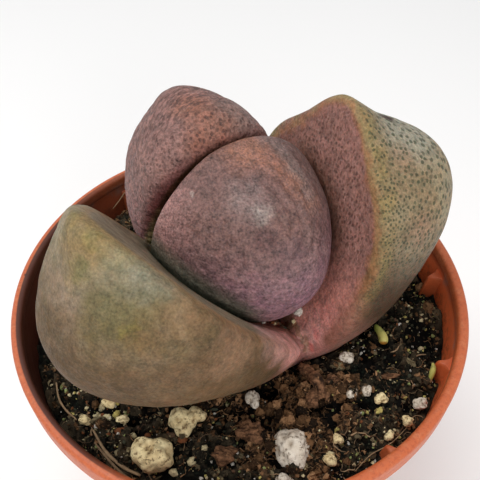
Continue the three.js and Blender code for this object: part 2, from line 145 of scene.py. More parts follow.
# The new pair sits closer in the old leaves than the solids do, and its split gapes at the front.
SEAT_GAP = 0.1
SEAT_EDGE = 0.35
SPLIT_GAPE = 1.1

# The front leaf's fine folds run in arcs round a point, and the back leaf's creases run level.
FOLD_CENTRE = np.array([0.5, -9, 78])
FOLD_PERIOD = 1.5
FOLD_HEIGHT = 0.12
HIDE_CREASE_SIZE = 1.3
HIDE_CREASE_DEPTH = 0.2


def sine(degrees):
    return math.sin(math.radians(degrees))


def cosine(degrees):
    return math.cos(math.radians(degrees))


# Noise for shapes

def lattice_value(cell, seed):
    """A repeatable random number from -1 to 1 for every whole-numbered cell."""
    n = cell[..., 0] * 73856093 ^ cell[..., 1] * 19349663 ^ cell[..., 2] * 83492791 ^ seed * 2654435
    n = (n ^ (n >> 13)) * 1274126177 & 0x7FFFFFFF
    n = (n ^ (n >> 16)) * 668265263 & 0x7FFFFFFF
    return (n & 0xFFFF) / 32767.5 - 1


def swells(points, size, seed):
    """Smooth noise from about -1 to 1 at points in mm, with swells about 'size' mm apart."""
    scaled = points / size + 57.3
    cell = np.floor(scaled).astype(np.int64)
    part = scaled - cell
    part = part * part * (3 - 2 * part)
    total = 0
    for corner in product((0, 1), repeat=3):
        weight = np.prod(np.where(np.array(corner) == 1, part, 1 - part), axis=-1)
        total = total + weight * lattice_value(cell + corner, seed)
    return total


def layered(points, size, octaves, seed, fall=0.5):
    """Several layers of swells, each finer and lower than the last."""
    total = 0
    for octave in range(octaves):
        total = total + swells(points, size / 2.1 ** octave, seed + octave) * fall ** octave
    return total


def smooth_step(values, low, high):
    t = np.clip((values - low) / (high - low), 0, 1)
    return t * t * (3 - 2 * t)


def rounded_max(values, radius):
    """The larger of several distances, with the corner between them rounded over."""
    stack = np.stack(values)
    top = stack.max(axis=0)
    return top + radius * np.log(np.exp((stack - top) / radius).sum(axis=0))


def rounded_min(values, radius):
    return -rounded_max([-v for v in values], radius)


# Meshes

def new_mesh(name, points, faces):
    """A mesh from points in mm."""
    mesh = bpy.data.meshes.new(name)
    mesh.from_pydata((np.asarray(points) * MM).tolist(), [], faces)
    return mesh


def give_values(mesh, key, values):
    """Stores a number for each point, under a name that a material or a node tree reads."""
    numbers = np.asarray(values, dtype=np.float32)
    mesh.attributes.new(key, "FLOAT", "POINT").data.foreach_set("value", numbers)


def in_scene(name, data):
    thing = bpy.data.objects.new(name, data)
    bpy.context.scene.collection.objects.link(thing)
    return thing


def finished_mesh(thing):
    """The mesh that an object's modifiers end in."""
    return bpy.data.meshes.new_from_object(thing.evaluated_get(bpy.context.evaluated_depsgraph_get()))


def mesh_piece(name, points, faces, material, attributes, replaces=()):
    """Makes one finished piece from points in mm, and hands it to the part's one body."""
    mesh = new_mesh(name, points, faces)
    for key, values in attributes.items():
        give_values(mesh, key, values)
    mesh.shade_smooth()
    mesh.materials.append(material)
    settle(in_scene(name, mesh), replaces)


def settle(piece, replaces=()):
    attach(piece, "root")
    if replaces:
        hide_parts(*replaces)


def all_round(count):
    """Angles in radians, evenly spread over a full turn."""
    return np.arange(count) * 2 * math.pi / count


def ring_faces(rings, sectors, first=0):
    """Quads between rings of points that run anticlockwise, from the outermost turned inwards."""
    faces = []
    for ring in range(rings - 1):
        for sector in range(sectors):
            beside = (sector + 1) % sectors
            faces.append((
                first + ring * sectors + sector,
                first + (ring + 1) * sectors + sector,
                first + (ring + 1) * sectors + beside,
                first + ring * sectors + beside,
            ))
    return faces


def fan(centre, first, count):
    """Triangles between one point and the ring of points about it."""
    return [(centre, first + side, first + (side + 1) % count) for side in range(count)]


def turned_over(faces):
    return [face[::-1] for face in faces]


def stack_faces(levels, count, first):
    """The faces of a closed stack of outlines, with a flat end below and above."""
    faces = turned_over(ring_faces(levels, count, first))
    faces.append(tuple(first + k for k in reversed(range(count))))
    faces.append(tuple(first + (levels - 1) * count + k for k in range(count)))
    return faces


def add_shape(points, faces, more_points, more_faces):
    """Adds one shape to the lists of a piece that is made of many."""
    faces.extend(tuple(corner + len(points) for corner in face) for face in more_faces)
    points.extend(more_points)


# Leaf shapes

def leaf_axes(leaf):
    """The leaf's own directions: out of its face, up to its tip, and across to the back."""
    a, t, r = (leaf[key] for key in ("azimuth", "tilt", "roll"))
    out = np.array([cosine(a) * sine(t), sine(a) * sine(t), cosine(t)])
    uphill = np.array([-cosine(a) * cosine(t), -sine(a) * cosine(t), sine(t)])
    level = np.cross(uphill, out)
    if level[1] < 0:
        level = -level
    up = uphill * cosine(r) + level * sine(r)
    across = level * cosine(r) - uphill * sine(r)
    return out, up, across


def body_reach(leaf, x, y, z):
    """How far the leaf's bulging body reaches from its centre in a direction of unit length."""
    face_power, profile_power = leaf["bluntness"]
    width = np.where(x < 0, leaf["front"], leaf["behind"])
    height = np.where(y > 0, leaf["up"], leaf["down"])
    depth = np.where(z > 0, leaf["proud"], leaf["deep"])
    profile = np.abs(y / height) ** profile_power + np.abs(z / depth) ** profile_power
    profile = profile ** (1 / profile_power)
    reach = (np.abs(x / width) ** face_power + profile ** face_power) ** (-1 / face_power)
    for stand, broad, back, side in leaf["bumps"]:
        towards = x * math.sin(side) + math.cos(side) * (y * math.cos(back) - z * math.sin(back))
        reach = reach * (1 + stand * np.exp((towards - 1) / broad))
    return reach


def outside_body(leaf, points):
    out, up, across = leaf_axes(leaf)
    offset = points - (np.array(leaf["middle"]) - leaf["face_depth"] * out)
    length = np.maximum(np.linalg.norm(offset, axis=-1), 1e-6)
    reach = body_reach(leaf, offset @ across / length, offset @ up / length, offset @ out / length)
    return length - reach


def above_face(leaf, points):
    """Height over the leaf's face, which is dished a little in its middle."""
    out, up, across = leaf_axes(leaf)
    offset = points - np.array(leaf["middle"])
    x = offset @ across / leaf["front"]
    y = offset @ up / leaf["up"]
    return offset @ out + leaf["hollow"] * np.exp(-1.5 * (x * x + y * y))


def over_shoulder(leaf, points):
    """The back leaf comes down to the front leaf's outline where they meet at the split."""
    if not leaf["shouldered"]:
        return np.full(points.shape[:-1], -float(leaf["deep"]))
    out, up, across = leaf_axes(leaf)
    offset = points - SPLIT_MIDDLE
    x = offset @ across
    y = offset @ up
    level = np.maximum(np.hypot(x / NEW_FRONT["front"], y / NEW_FRONT["up"]), 1e-6)
    return np.hypot(x, y) * (1 - 1 / level) + SHOULDER_SLOPE * (offset @ out)


def outside_new_leaf(leaf, points):
    out, _, across = leaf_axes(leaf)
    offset = points - SPLIT_MIDDLE
    gape = SPLIT_GAPE * smooth_step(-(offset @ across), 1, 11) if leaf is NEW_FRONT else 0
    body = outside_body(leaf, points)
    if leaf["shouldered"]:
        body = rounded_max([body, over_shoulder(leaf, points)], SHOULDER_SOFTNESS)
    parts = [body, offset @ out + GAP / 2 + gape]
    for old in (OLD_RIGHT, OLD_LEFT):
        parts.append(-(points - np.array(old["middle"])) @ leaf_axes(old)[0] - OLD_FACE_GIVE)
    return rounded_max(parts, leaf["edge"])


def outside_new_pair(points):
    return np.minimum(outside_new_leaf(NEW_FRONT, points), outside_new_leaf(NEW_BACK, points))


def join_side(leaf):
    return np.sign(np.dot(leaf["middle"], JOIN_DIRECTION) - JOIN_OFFSET)


def leaf_flesh(leaf, points):
    """One old leaf, with the sloping floor that joins it to the other."""
    along = points @ JOIN_DIRECTION - JOIN_OFFSET
    rise = join_side(leaf) * along * math.sin(JOIN_FLOOR_SLOPE)
    floor = (points[..., 2] - JOIN_LEVEL) * math.cos(JOIN_FLOOR_SLOPE) - rise
    face = rounded_min([above_face(leaf, points), floor], JOIN_FILLET)
    return rounded_max([outside_body(leaf, points), face], leaf["edge"])


def outside_bridge(points):
    """The flesh that runs from leaf to leaf under the front end of the crease."""
    start, end = BRIDGE
    along = end - start
    share = np.clip((points - start) @ along / (along @ along), 0, 1)
    return np.linalg.norm(points - start - share[..., None] * along, axis=-1) - BRIDGE_RADIUS


def outside_old_pair(points):
    """The two old leaves grown together at the crease, with a seat for the new pair."""
    fleshes = [leaf_flesh(OLD_RIGHT, points), leaf_flesh(OLD_LEFT, points), outside_bridge(points)]
    pair = rounded_min(fleshes, CREASE_SOFTNESS)
    return rounded_max([pair, SEAT_GAP - outside_new_pair(points)], SEAT_EDGE)


def outside_old_leaf(leaf, points):
    """One leaf's share of the old pair. Past the crease its skin dips just under the other's."""
    past = -join_side(leaf) * (points @ JOIN_DIRECTION - JOIN_OFFSET)
    dip = CREASE_DIP * smooth_step(past, -CREASE_LAP, CREASE_LAP)
    return np.maximum(outside_old_pair(points) + dip, past - CREASE_LAP)


def reach_along(outside, start, directions, far=45, stride=1.5, halvings=13):
    """Distances along lines from a point inside, to where each first comes out."""
    near = np.zeros(len(directions))
    beyond = np.full(len(directions), float(far))
    still_in = np.arange(len(directions))
    for distance in np.arange(stride, far, stride):
        gone = outside(start + directions[still_in] * distance) > 0
        beyond[still_in[gone]] = distance
        near[still_in[~gone]] = distance
        still_in = still_in[~gone]
        if len(still_in) == 0:
            break
    for _ in range(halvings):
        middle = (near + beyond) / 2
        inside = outside(start + directions * middle[:, None]) < 0
        near = np.where(inside, middle, near)
        beyond = np.where(inside, beyond, middle)
    return near


def leaf_shape(leaf, outside, face_rings):
    """A leaf's closed skin: rings of points about its face's direction, with one on the margin.
    Returns the points, the faces, how far each point lies from the margin, minus on the face, and the
    directions from the core in which the points lie."""
    out, up, across = leaf_axes(leaf)
    middle = np.array(leaf["middle"])
    core = middle - LEAF_CORE_DEPTH * out
    turns = all_round(LEAF_SECTORS)
    flat = np.cos(turns)[:, None] * across + np.sin(turns)[:, None] * up

    def outside_rim(points):
        return np.maximum(outside_body(leaf, points), over_shoulder(leaf, points))

    margin = reach_along(outside_rim, middle, flat)
    margin_angle = np.arctan2(margin, LEAF_CORE_DEPTH)
    angles = []
    for ring in range(1, face_rings + 1):
        spread = math.sin(0.5 * math.pi * ring / face_rings)
        angles.append(np.arctan2(margin * spread, LEAF_CORE_DEPTH))
    for ring in range(1, LEAF_BACK_RINGS):
        t = ring / LEAF_BACK_RINGS
        spread = 0.55 * t + 0.45 * t * t
        angles.append(margin_angle + (math.pi - margin_angle) * spread)
    angles = np.array(angles)
    directions = np.cos(angles)[..., None] * out + np.sin(angles)[..., None] * flat[None]
    directions = np.concatenate([[out], directions.reshape(-1, 3), [-out]])
    points = core + directions * reach_along(outside, core, directions)[:, None]

    rings = face_rings + LEAF_BACK_RINGS - 1
    faces = ring_faces(rings, LEAF_SECTORS, first=1) + fan(0, 1, LEAF_SECTORS)
    faces += turned_over(fan(len(points) - 1, 1 + (rings - 1) * LEAF_SECTORS, LEAF_SECTORS))
    if np.dot(np.cross(across, up), out) < 0:
        faces = turned_over(faces)

    grid = points[1:-1].reshape(rings, LEAF_SECTORS, 3)
    steps = np.linalg.norm(np.diff(grid, axis=0), axis=-1)
    walked = np.concatenate([np.zeros((1, LEAF_SECTORS)), np.cumsum(steps, axis=0)])
    from_margin = (walked - walked[face_rings - 1]).reshape(-1)
    ends = [from_margin[:LEAF_SECTORS].mean(), from_margin[-LEAF_SECTORS:].mean()]
    from_margin = np.concatenate([[ends[0]], from_margin, [ends[1]]])
    return points, faces, from_margin, directions


def curved_wrinkles(points):
    """Fine folds in arcs round a point, on the side towards the right and the back."""
    offset = points - FOLD_CENTRE
    distance = np.linalg.norm(offset, axis=1)
    bent = distance + 0.7 * swells(points, 2.6, 71)
    side = smooth_step(offset @ np.array([0.75, 0.66, 0]), 0.5, 4)
    band = smooth_step(distance, 2, 4) * smooth_step(distance, 10, 7.5)
    return FOLD_HEIGHT * side * band * np.sin(2 * math.pi * bent / FOLD_PERIOD)


def level_wrinkles(points):
    """Fine creases of thick hide that run level round a leaf."""
    squashed = points * np.array([0.4, 0.4, 1.3])
    return -HIDE_CREASE_DEPTH * (1 - np.abs(swells(squashed, HIDE_CREASE_SIZE, 83))) ** 3


def laid_out_flat(leaf, directions):
    """Places on the leaf's outside on a flat map, in mm, which keeps the shape of small marks."""
    out, up, across = leaf_axes(leaf)
    spread = SKIN_MAP_SPREAD / np.maximum(1 - directions @ out, 0.15)
    return directions @ across * spread, directions @ up * spread


def leaf_piece(name, leaf, slot, swell, material, seed, wrinkles=None):
    """A leaf's skin as one closed piece, with the distances that its colours follow."""
    old = slot == "old_leaf"
    outside_leaf = outside_old_leaf if old else outside_new_leaf
    points, faces, from_margin, directions = leaf_shape(
        leaf, lambda places: outside_leaf(leaf, places), OLD_FACE_RINGS if old else NEW_FACE_RINGS,
    )
    _, up, across = leaf_axes(leaf)
    offset = points - np.array(leaf["middle"])
    clear = 1
    if old:
        past_crease = np.abs(points @ JOIN_DIRECTION - JOIN_OFFSET)
        clear = smooth_step(outside_new_pair(points), 0.2, 2.5) * smooth_step(past_crease, 1, 4)
    relief = swell * (0.6 * swells(points, 8, seed) + 0.4 * layered(points, 2.9, 2, seed + 5))
    if wrinkles:
        relief = relief + wrinkles(points)
    points = points + directions * (relief * clear)[:, None]
    skin_across, skin_up = laid_out_flat(leaf, directions)
    attributes = {
        "from_margin": from_margin,
        "tipward": np.where(offset @ up > 0, offset @ up / leaf["up"], offset @ up / leaf["down"]),
        "skin_across": skin_across * MM,
        "skin_up": skin_up * MM,
        "face_across": offset @ across * MM,
        "face_up": offset @ up * MM,
        "from_crease": np.linalg.norm(points - CREASE_END, axis=1),
        "from_new": outside_new_pair(points),
        "from_left_leaf": above_face(OLD_LEFT, points),
    }
    mesh_piece(name + "_skin", points, faces, material, attributes, replaces=[name])


# Materials

def paint(red, green, blue):
    """A colour given as 0 to 255 on a screen, as the linear colour that Blender mixes."""
    linear = []
    for value in (red, green, blue):
        part = value / 255
        linear.append(part / 12.92 if part <= 0.04045 else ((part + 0.055) / 1.055) ** 2.4)
    return (*linear, 1)


class Tree:
    """Short calls for the nodes of a material or a node group."""

    def __init__(self, tree):
        self.tree = tree

    def node(self, kind, inputs=None, **settings):
        made = self.tree.nodes.new(kind)
        for key, value in settings.items():
            setattr(made, key, value)
        for key, value in (inputs or {}).items():
            self.feed(made.inputs[key], value)
        return made

    def feed(self, socket, value):
        if isinstance(value, bpy.types.NodeSocket):
            self.tree.links.new(value, socket)
        else:
            socket.default_value = value

    def place(self):
        return self.node("ShaderNodeTexCoord").outputs["Object"]

    def stretched(self, vector, scale, turn=(0, 0, 0)):
        mapping = self.node("ShaderNodeMapping", {"Vector": vector, "Scale": scale, "Rotation": turn})
        return mapping.outputs["Vector"]

    def attribute(self, name):
        return self.node("ShaderNodeAttribute", attribute_name=name).outputs["Fac"]

    def noise(self, vector, size, detail=2, roughness=0.5):
        """Noise from 0 to 1 with swells about 'size' mm apart."""
        inputs = {"Vector": vector, "Scale": 1 / (size * MM), "Detail": detail, "Roughness": roughness}
        return self.node("ShaderNodeTexNoise", inputs).outputs["Fac"]

    def maths(self, operation, first, second=0.5, third=0.5):
        made = self.node("ShaderNodeMath", {0: first, 1: second, 2: third}, operation=operation)
        return made.outputs["Value"]

    def vector_maths(self, operation, first, second=(0, 0, 0), result="Vector"):
        made = self.node("ShaderNodeVectorMath", {0: first, 1: second}, operation=operation)
        return made.outputs[result]

    def scaled(self, vector, factor):
        made = self.node("ShaderNodeVectorMath", {0: vector, "Scale": factor}, operation="SCALE")
        return made.outputs[0]

    def vector(self, x, y, z):
        return self.node("ShaderNodeCombineXYZ", {"X": x, "Y": y, "Z": z}).outputs[0]

    def coordinates(self, vector):
        return self.node("ShaderNodeSeparateXYZ", {"Vector": vector}).outputs[:]

    def between(self, value, low, high, to_low=0, to_high=1, kind="SMOOTHSTEP"):
        made = self.node("ShaderNodeMapRange", {
            "Value": value, "From Min": low, "From Max": high, "To Min": to_low, "To Max": to_high,
        }, interpolation_type=kind)
        return made.outputs["Result"]

    def mix(self, share, first, second, blend="MIX"):
        inputs = {"Factor": share, 6: first, 7: second}
        return self.node("ShaderNodeMix", inputs, data_type="RGBA", blend_type=blend).outputs[2]

    def over(self, colour, tint, *shares):
        """The colour with a tint (red, green, blue) over it, as much as the shares multiply to."""
        return self.mix(self.product(*shares), colour, paint(*tint))

    def mix_values(self, share, first, second):
        made = self.node("ShaderNodeMix", {0: share, 2: first, 3: second}, data_type="FLOAT")
        return made.outputs[0]

    def distance(self, place, centre):
        """How far a place is from a point given in mm."""
        return self.vector_maths("DISTANCE", place, [number * MM for number in centre], "Value")

    def nudge(self, place, scale, detail, amount):
        """A small push this way or that for each place, by up to about a quarter of 'amount'."""
        noise = self.node("ShaderNodeTexNoise", {"Vector": place, "Scale": scale, "Detail": detail})
        centred = self.vector_maths("SUBTRACT", noise.outputs["Color"], (0.5, 0.5, 0.5))
        return self.scaled(centred, amount)

    def shaken(self, place, size, amount):
        """The place moved about by noise with swells 'size' mm apart, by up to about 'amount' / 4 mm."""
        return self.vector_maths("ADD", place, self.nudge(place, 1 / (size * MM), 2, amount * MM))

    def map_of(self, side):
        """The flat map of a leaf's "skin" or "face", as a place for flat patterns."""
        return self.vector(self.attribute(side + "_across"), self.attribute(side + "_up"), 0)

    def dots(self, flat, density, size, softness=0.1):
        inputs = {"Vector": flat, "Density": density, "Size": size, "Softness": softness}
        return self.group(DOTS, inputs)["Dots"]

    def mottling(self, place, density, sharpness):
        inputs = {"Vector": place, "Density": density, "Sharpness": sharpness}
        return self.group(MOTTLE, inputs)["Blotches"]

    def grain(self, place, density):
        return self.group(GRAIN, {"Vector": place, "Density": density})["Height"]

    def speckled(self, place, colour, amount):
        return self.group(SPECKLE, {"Vector": place, "Color": colour, "Amount": amount})["Color"]

    def crease_flesh(self, place, colour, margin, crease):
        inputs = {"Vector": place, "Color": colour, "From margin": margin, "From crease": crease}
        return self.group(CREASE_FLESH, inputs)["Color"]

    def random(self, low, high, seed, salt):
        """A random number or vector for each point of a node tree, from 'low' to 'high'."""
        vector = isinstance(low, tuple)
        first = 0 if vector else 2
        made = self.node("FunctionNodeRandomValue", {
            first: low, first + 1: high, "Seed": self.maths("ADD", seed, float(100 * salt)),
        }, data_type="FLOAT_VECTOR" if vector else "FLOAT")
        return made.outputs[0 if vector else 1]

    def product(self, *factors):
        total = factors[0]
        for factor in factors[1:]:
            total = self.maths("MULTIPLY", total, factor)
        return total

    def bump(self, height, strength, distance, normal=None):
        inputs = {"Height": height, "Strength": strength, "Distance": distance * MM}
        if normal is not None:
            inputs["Normal"] = normal
        return self.node("ShaderNodeBump", inputs).outputs["Normal"]

    def group(self, group, inputs):
        made = self.node("ShaderNodeGroup", node_tree=group)
        for key, value in inputs.items():
            self.feed(made.inputs[key], value)
        return made.outputs


def new_group(name, inputs, outputs):
    """An empty shader group with named sockets; inputs are (name, kind, value)."""
    group = bpy.data.node_groups.new(name, "ShaderNodeTree")
    for label, kind, value in inputs:
        socket = group.interface.new_socket(label, in_out="INPUT", socket_type=kind)
        if value is not None:
            socket.default_value = value
    for label, kind in outputs:
        group.interface.new_socket(label, in_out="OUTPUT", socket_type=kind)
    tree = Tree(group)
    given = tree.node("NodeGroupInput").outputs
    results = tree.node("NodeGroupOutput").inputs
    return group, tree, given, results


# The dots' outlines are shaken a little, so that they aren't round.
DOT_SHAKE = 0.45
DOT_SHAKE_DENSITY = 1600


def make_dots_group():
    """Translucent windows of the skin: dark dots, spread evenly over a flat map."""
    group, t, given, results = new_group("Skin dots", [
        ("Vector", "NodeSocketVector", None),
        ("Density", "NodeSocketFloat", 900),
        ("Size", "NodeSocketFloat", 0.3),
        ("Softness", "NodeSocketFloat", 0.1),
    ], [("Dots", "NodeSocketFloat")])
    shake = t.nudge(given["Vector"], DOT_SHAKE_DENSITY, 1, DOT_SHAKE * MM)
    moved = t.vector_maths("ADD", given["Vector"], shake)
    cells = t.node("ShaderNodeTexVoronoi", {
        "Vector": moved, "Scale": given["Density"], "Randomness": 0.8,
    }, voronoi_dimensions="2D")
    low = t.maths("SUBTRACT", given["Size"], given["Softness"])
    high = t.maths("ADD", given["Size"], given["Softness"])
    near = t.between(cells.outputs["Distance"], low, high, 1, 0)
    split = t.node("ShaderNodeSeparateColor", {"Color": cells.outputs["Color"]})
    strength = t.between(split.outputs["Red"], 0, 0.5, 0.45, 1)
    t.feed(results["Dots"], t.product(near, strength))
    return group


def make_mottle_group():
    """Soft-edged blotches over about half of a surface."""
    group, t, given, results = new_group("Mottling", [
        ("Vector", "NodeSocketVector", None),
        ("Density", "NodeSocketFloat", 200),
        ("Sharpness", "NodeSocketFloat", 0.15),
    ], [("Blotches", "NodeSocketFloat")])
    noise = t.node("ShaderNodeTexNoise", {
        "Vector": given["Vector"], "Scale": given["Density"], "Detail": 3, "Roughness": 0.55,
    })
    low = t.maths("SUBTRACT", 0.5, given["Sharpness"])
    high = t.maths("ADD", 0.5, given["Sharpness"])
    t.feed(results["Blotches"], t.between(noise.outputs["Fac"], low, high))
    return group


def make_grain_group():
    """The fine pitting that all the rough and moulded surfaces have, as a height."""
    group, t, given, results = new_group("Surface grain", [
        ("Vector", "NodeSocketVector", None),
        ("Density", "NodeSocketFloat", 2000),
    ], [("Height", "NodeSocketFloat")])
    fine = t.node("ShaderNodeTexNoise", {
        "Vector": given["Vector"], "Scale": given["Density"], "Detail": 4, "Roughness": 0.65,
    })
    t.feed(results["Height"], fine.outputs["Fac"])
    return group


# The flesh is drawn a little darker than its paints, because this light brightens it.
FLESH_LEVEL = 0.85
COOL_FLESH = (0.93, 1.02, 1.05, 1)
WARM_FLESH = (1.07, 0.98, 0.95, 1)


def make_speckle_group():
    """Fine cloudy changes of lightness and warmth, as flesh shows through a thin skin."""
    group, t, given, results = new_group("Flesh speckle", [
        ("Vector", "NodeSocketVector", None),
        ("Color", "NodeSocketColor", (0.5, 0.5, 0.5, 1)),
        ("Amount", "NodeSocketFloat", 0.4),
    ], [("Color", "NodeSocketColor")])
    fine = t.noise(given["Vector"], 0.28, detail=2, roughness=0.6)
    wide = t.noise(given["Vector"], 1.0, detail=3, roughness=0.6)
    fine_part = t.product(t.maths("SUBTRACT", fine, 0.5), 1.8)
    wide_part = t.product(t.maths("SUBTRACT", wide, 0.5), 1.5)
    light = t.maths("MULTIPLY_ADD", t.maths("ADD", fine_part, wide_part), given["Amount"], FLESH_LEVEL)
    tinted = t.mix(1.0, given["Color"], t.mix(wide, COOL_FLESH, WARM_FLESH), blend="MULTIPLY")
    t.feed(results["Color"], t.scaled(tinted, light))
    return group


def painted(t, place, colour, patches):
    """The colour with soft-edged patches on it, each given as its centre and radius in mm, its share
    and its tint (red, green, blue)."""
    for centre, radius, share, tint in patches:
        away = t.distance(place, centre)
        spot = t.between(away, radius * MM, 0.25 * radius * MM, 0, share)
        colour = t.over(colour, tint, spot)
    return colour


def make_crease_group():
    """The pink flesh by the crease, where the old leaves are grown together and their skins must match."""
    group, t, given, results = new_group("Crease flesh", [
        ("Vector", "NodeSocketVector", None),
        ("Color", "NodeSocketColor", (0.5, 0.5, 0.5, 1)),
        ("From margin", "NodeSocketFloat", 0),
        ("From crease", "NodeSocketFloat", 0),
    ], [("Color", "NodeSocketColor")])
    place = given["Vector"]
    shaken = t.shaken(place, 1.5, 1.8)
    wavy = t.noise(place, 1.8, detail=3)
    margin = t.maths("ADD", given["From margin"], t.between(wavy, 0.3, 0.7, -0.6, 0.6, "LINEAR"))
    crease = given["From crease"]
    under = t.product(t.between(crease, 12, 6), t.between(margin, 0.4, 2.0))
    colour = t.mix(t.product(under, 0.85), given["Color"], paint(160, 116, 102))
    colour = t.over(colour, (186, 128, 118), t.between(crease, 4.5, 2.5))
    colour = painted(t, shaken, colour, [
        ((13.0, -8.2, 63.4), 3.0, 0.6, (240, 166, 152)),
        ((12.0, -8.5, 60.6), 2.8, 0.8, (250, 172, 160)),
        # These four brown patches on the right leaf's lower side are partly its own brown, partly painted
        # shade.
        ((14.1, -9.8, 64.3), 3.0, 0.5, (160, 112, 94)),
        ((13.4, -10.2, 61.6), 3.2, 0.75, (156, 108, 92)),
        ((12.8, -10.8, 58.8), 2.8, 0.75, (150, 100, 86)),
        ((12.2, -10.8, 56.6), 2.2, 0.7, (146, 96, 82)),
        ((11.0, -7.4, 58.9), 2.4, 0.85, (255, 178, 166)),
        ((9.8, -6.6, 57.4), 2.4, 0.9, (255, 180, 168)),
        ((10.2, -8.2, 56.8), 2.4, 0.95, (255, 190, 180)),
        ((9.2, -8.0, 54.2), 2.4, 0.95, (255, 200, 190)),
        ((5.9, -10.7, 59.2), 2.6, 0.85, (255, 190, 182)),
        ((7.2, -12.4, 58.6), 2.2, 0.75, (250, 180, 172)),
        ((4.4, -13.1, 62.4), 2.8, 0.75, (244, 186, 178)),
        ((2.6, -14.2, 65.4), 2.6, 0.65, (226, 178, 170)),
        ((7.4, -11.3, 57.8), 2.4, 0.7, (255, 196, 188)),
        ((6.6, -14.6, 60.6), 3.2, 0.75, (236, 170, 160)),
        ((4.9, -16.2, 64.4), 3.4, 0.6, (214, 160, 150)),
        ((3.2, -17.4, 67.6), 3.0, 0.4, (190, 148, 138)),
        ((8.0, -12.6, 57.0), 1.3, 0.7, (214, 104, 92)),
        ((9.9, -9.2, 54.0), 0.9, 0.7, (214, 100, 90)),
        ((9.9, -8.9, 56.9), 1.1, 0.6, (232, 112, 112)),
    ])
    join = t.vector_maths("DOT_PRODUCT", shaken, tuple(JOIN_DIRECTION), "Value")
    beside = t.maths("ABSOLUTE", t.maths("SUBTRACT", join, JOIN_OFFSET * MM))
    height = t.coordinates(place)[2]
    valley = t.product(t.between(beside, 0.6 * MM, 0.2 * MM), t.between(height, 52.6 * MM, 53.6 * MM))
    colour = t.over(colour, (150, 116, 84), valley, t.between(crease, 9, 7), 0.7)
    t.feed(results["Color"], colour)
    return group


DOTS = make_dots_group()
SPECKLE = make_speckle_group()
MOTTLE = make_mottle_group()
GRAIN = make_grain_group()
CREASE_FLESH = make_crease_group()


class Material(Tree):
    """A new material's node tree, with its shader."""

    def __init__(self, name):
        self.material = bpy.data.materials.new(name)
        self.material.use_nodes = True
        self.material.node_tree.nodes.clear()
        super().__init__(self.material.node_tree)
        self.shader = self.node("ShaderNodeBsdfPrincipled")
        output = self.node("ShaderNodeOutputMaterial")
        self.feed(output.inputs["Surface"], self.shader.outputs["BSDF"])

    def finish(self, colour, roughness, normal, specular, **constants):
        """Feeds the shader and returns the material. The constants are more of the shader's sockets."""
        self.feed(self.shader.inputs["Base Color"], colour)
        self.feed(self.shader.inputs["Roughness"], roughness)
        if normal is not None:
            self.feed(self.shader.inputs["Normal"], normal)
        self.shader.inputs["Specular IOR Level"].default_value = specular
        for key, value in constants.items():
            self.shader.inputs[key.replace("_", " ")].default_value = value
        return self.material


def leaf_bump(t, place, pimples, strength):
    """Leathery skin: fine grain, shallow dents and the dots as little pimples."""
    grain = t.grain(place, 2300)
    dents = t.noise(place, 1.1, detail=2)
    first = t.bump(dents, 0.55 * strength, 0.3)
    second = t.bump(grain, 0.6 * strength, 0.14, first)
    return t.bump(pimples, 0.35 * strength, 0.12, second)


OLD_FLESH = dict(Subsurface_Weight=0.22, Subsurface_Scale=0.0015)
NEW_FLESH = dict(Subsurface_Weight=0.08, Subsurface_Scale=0.001)


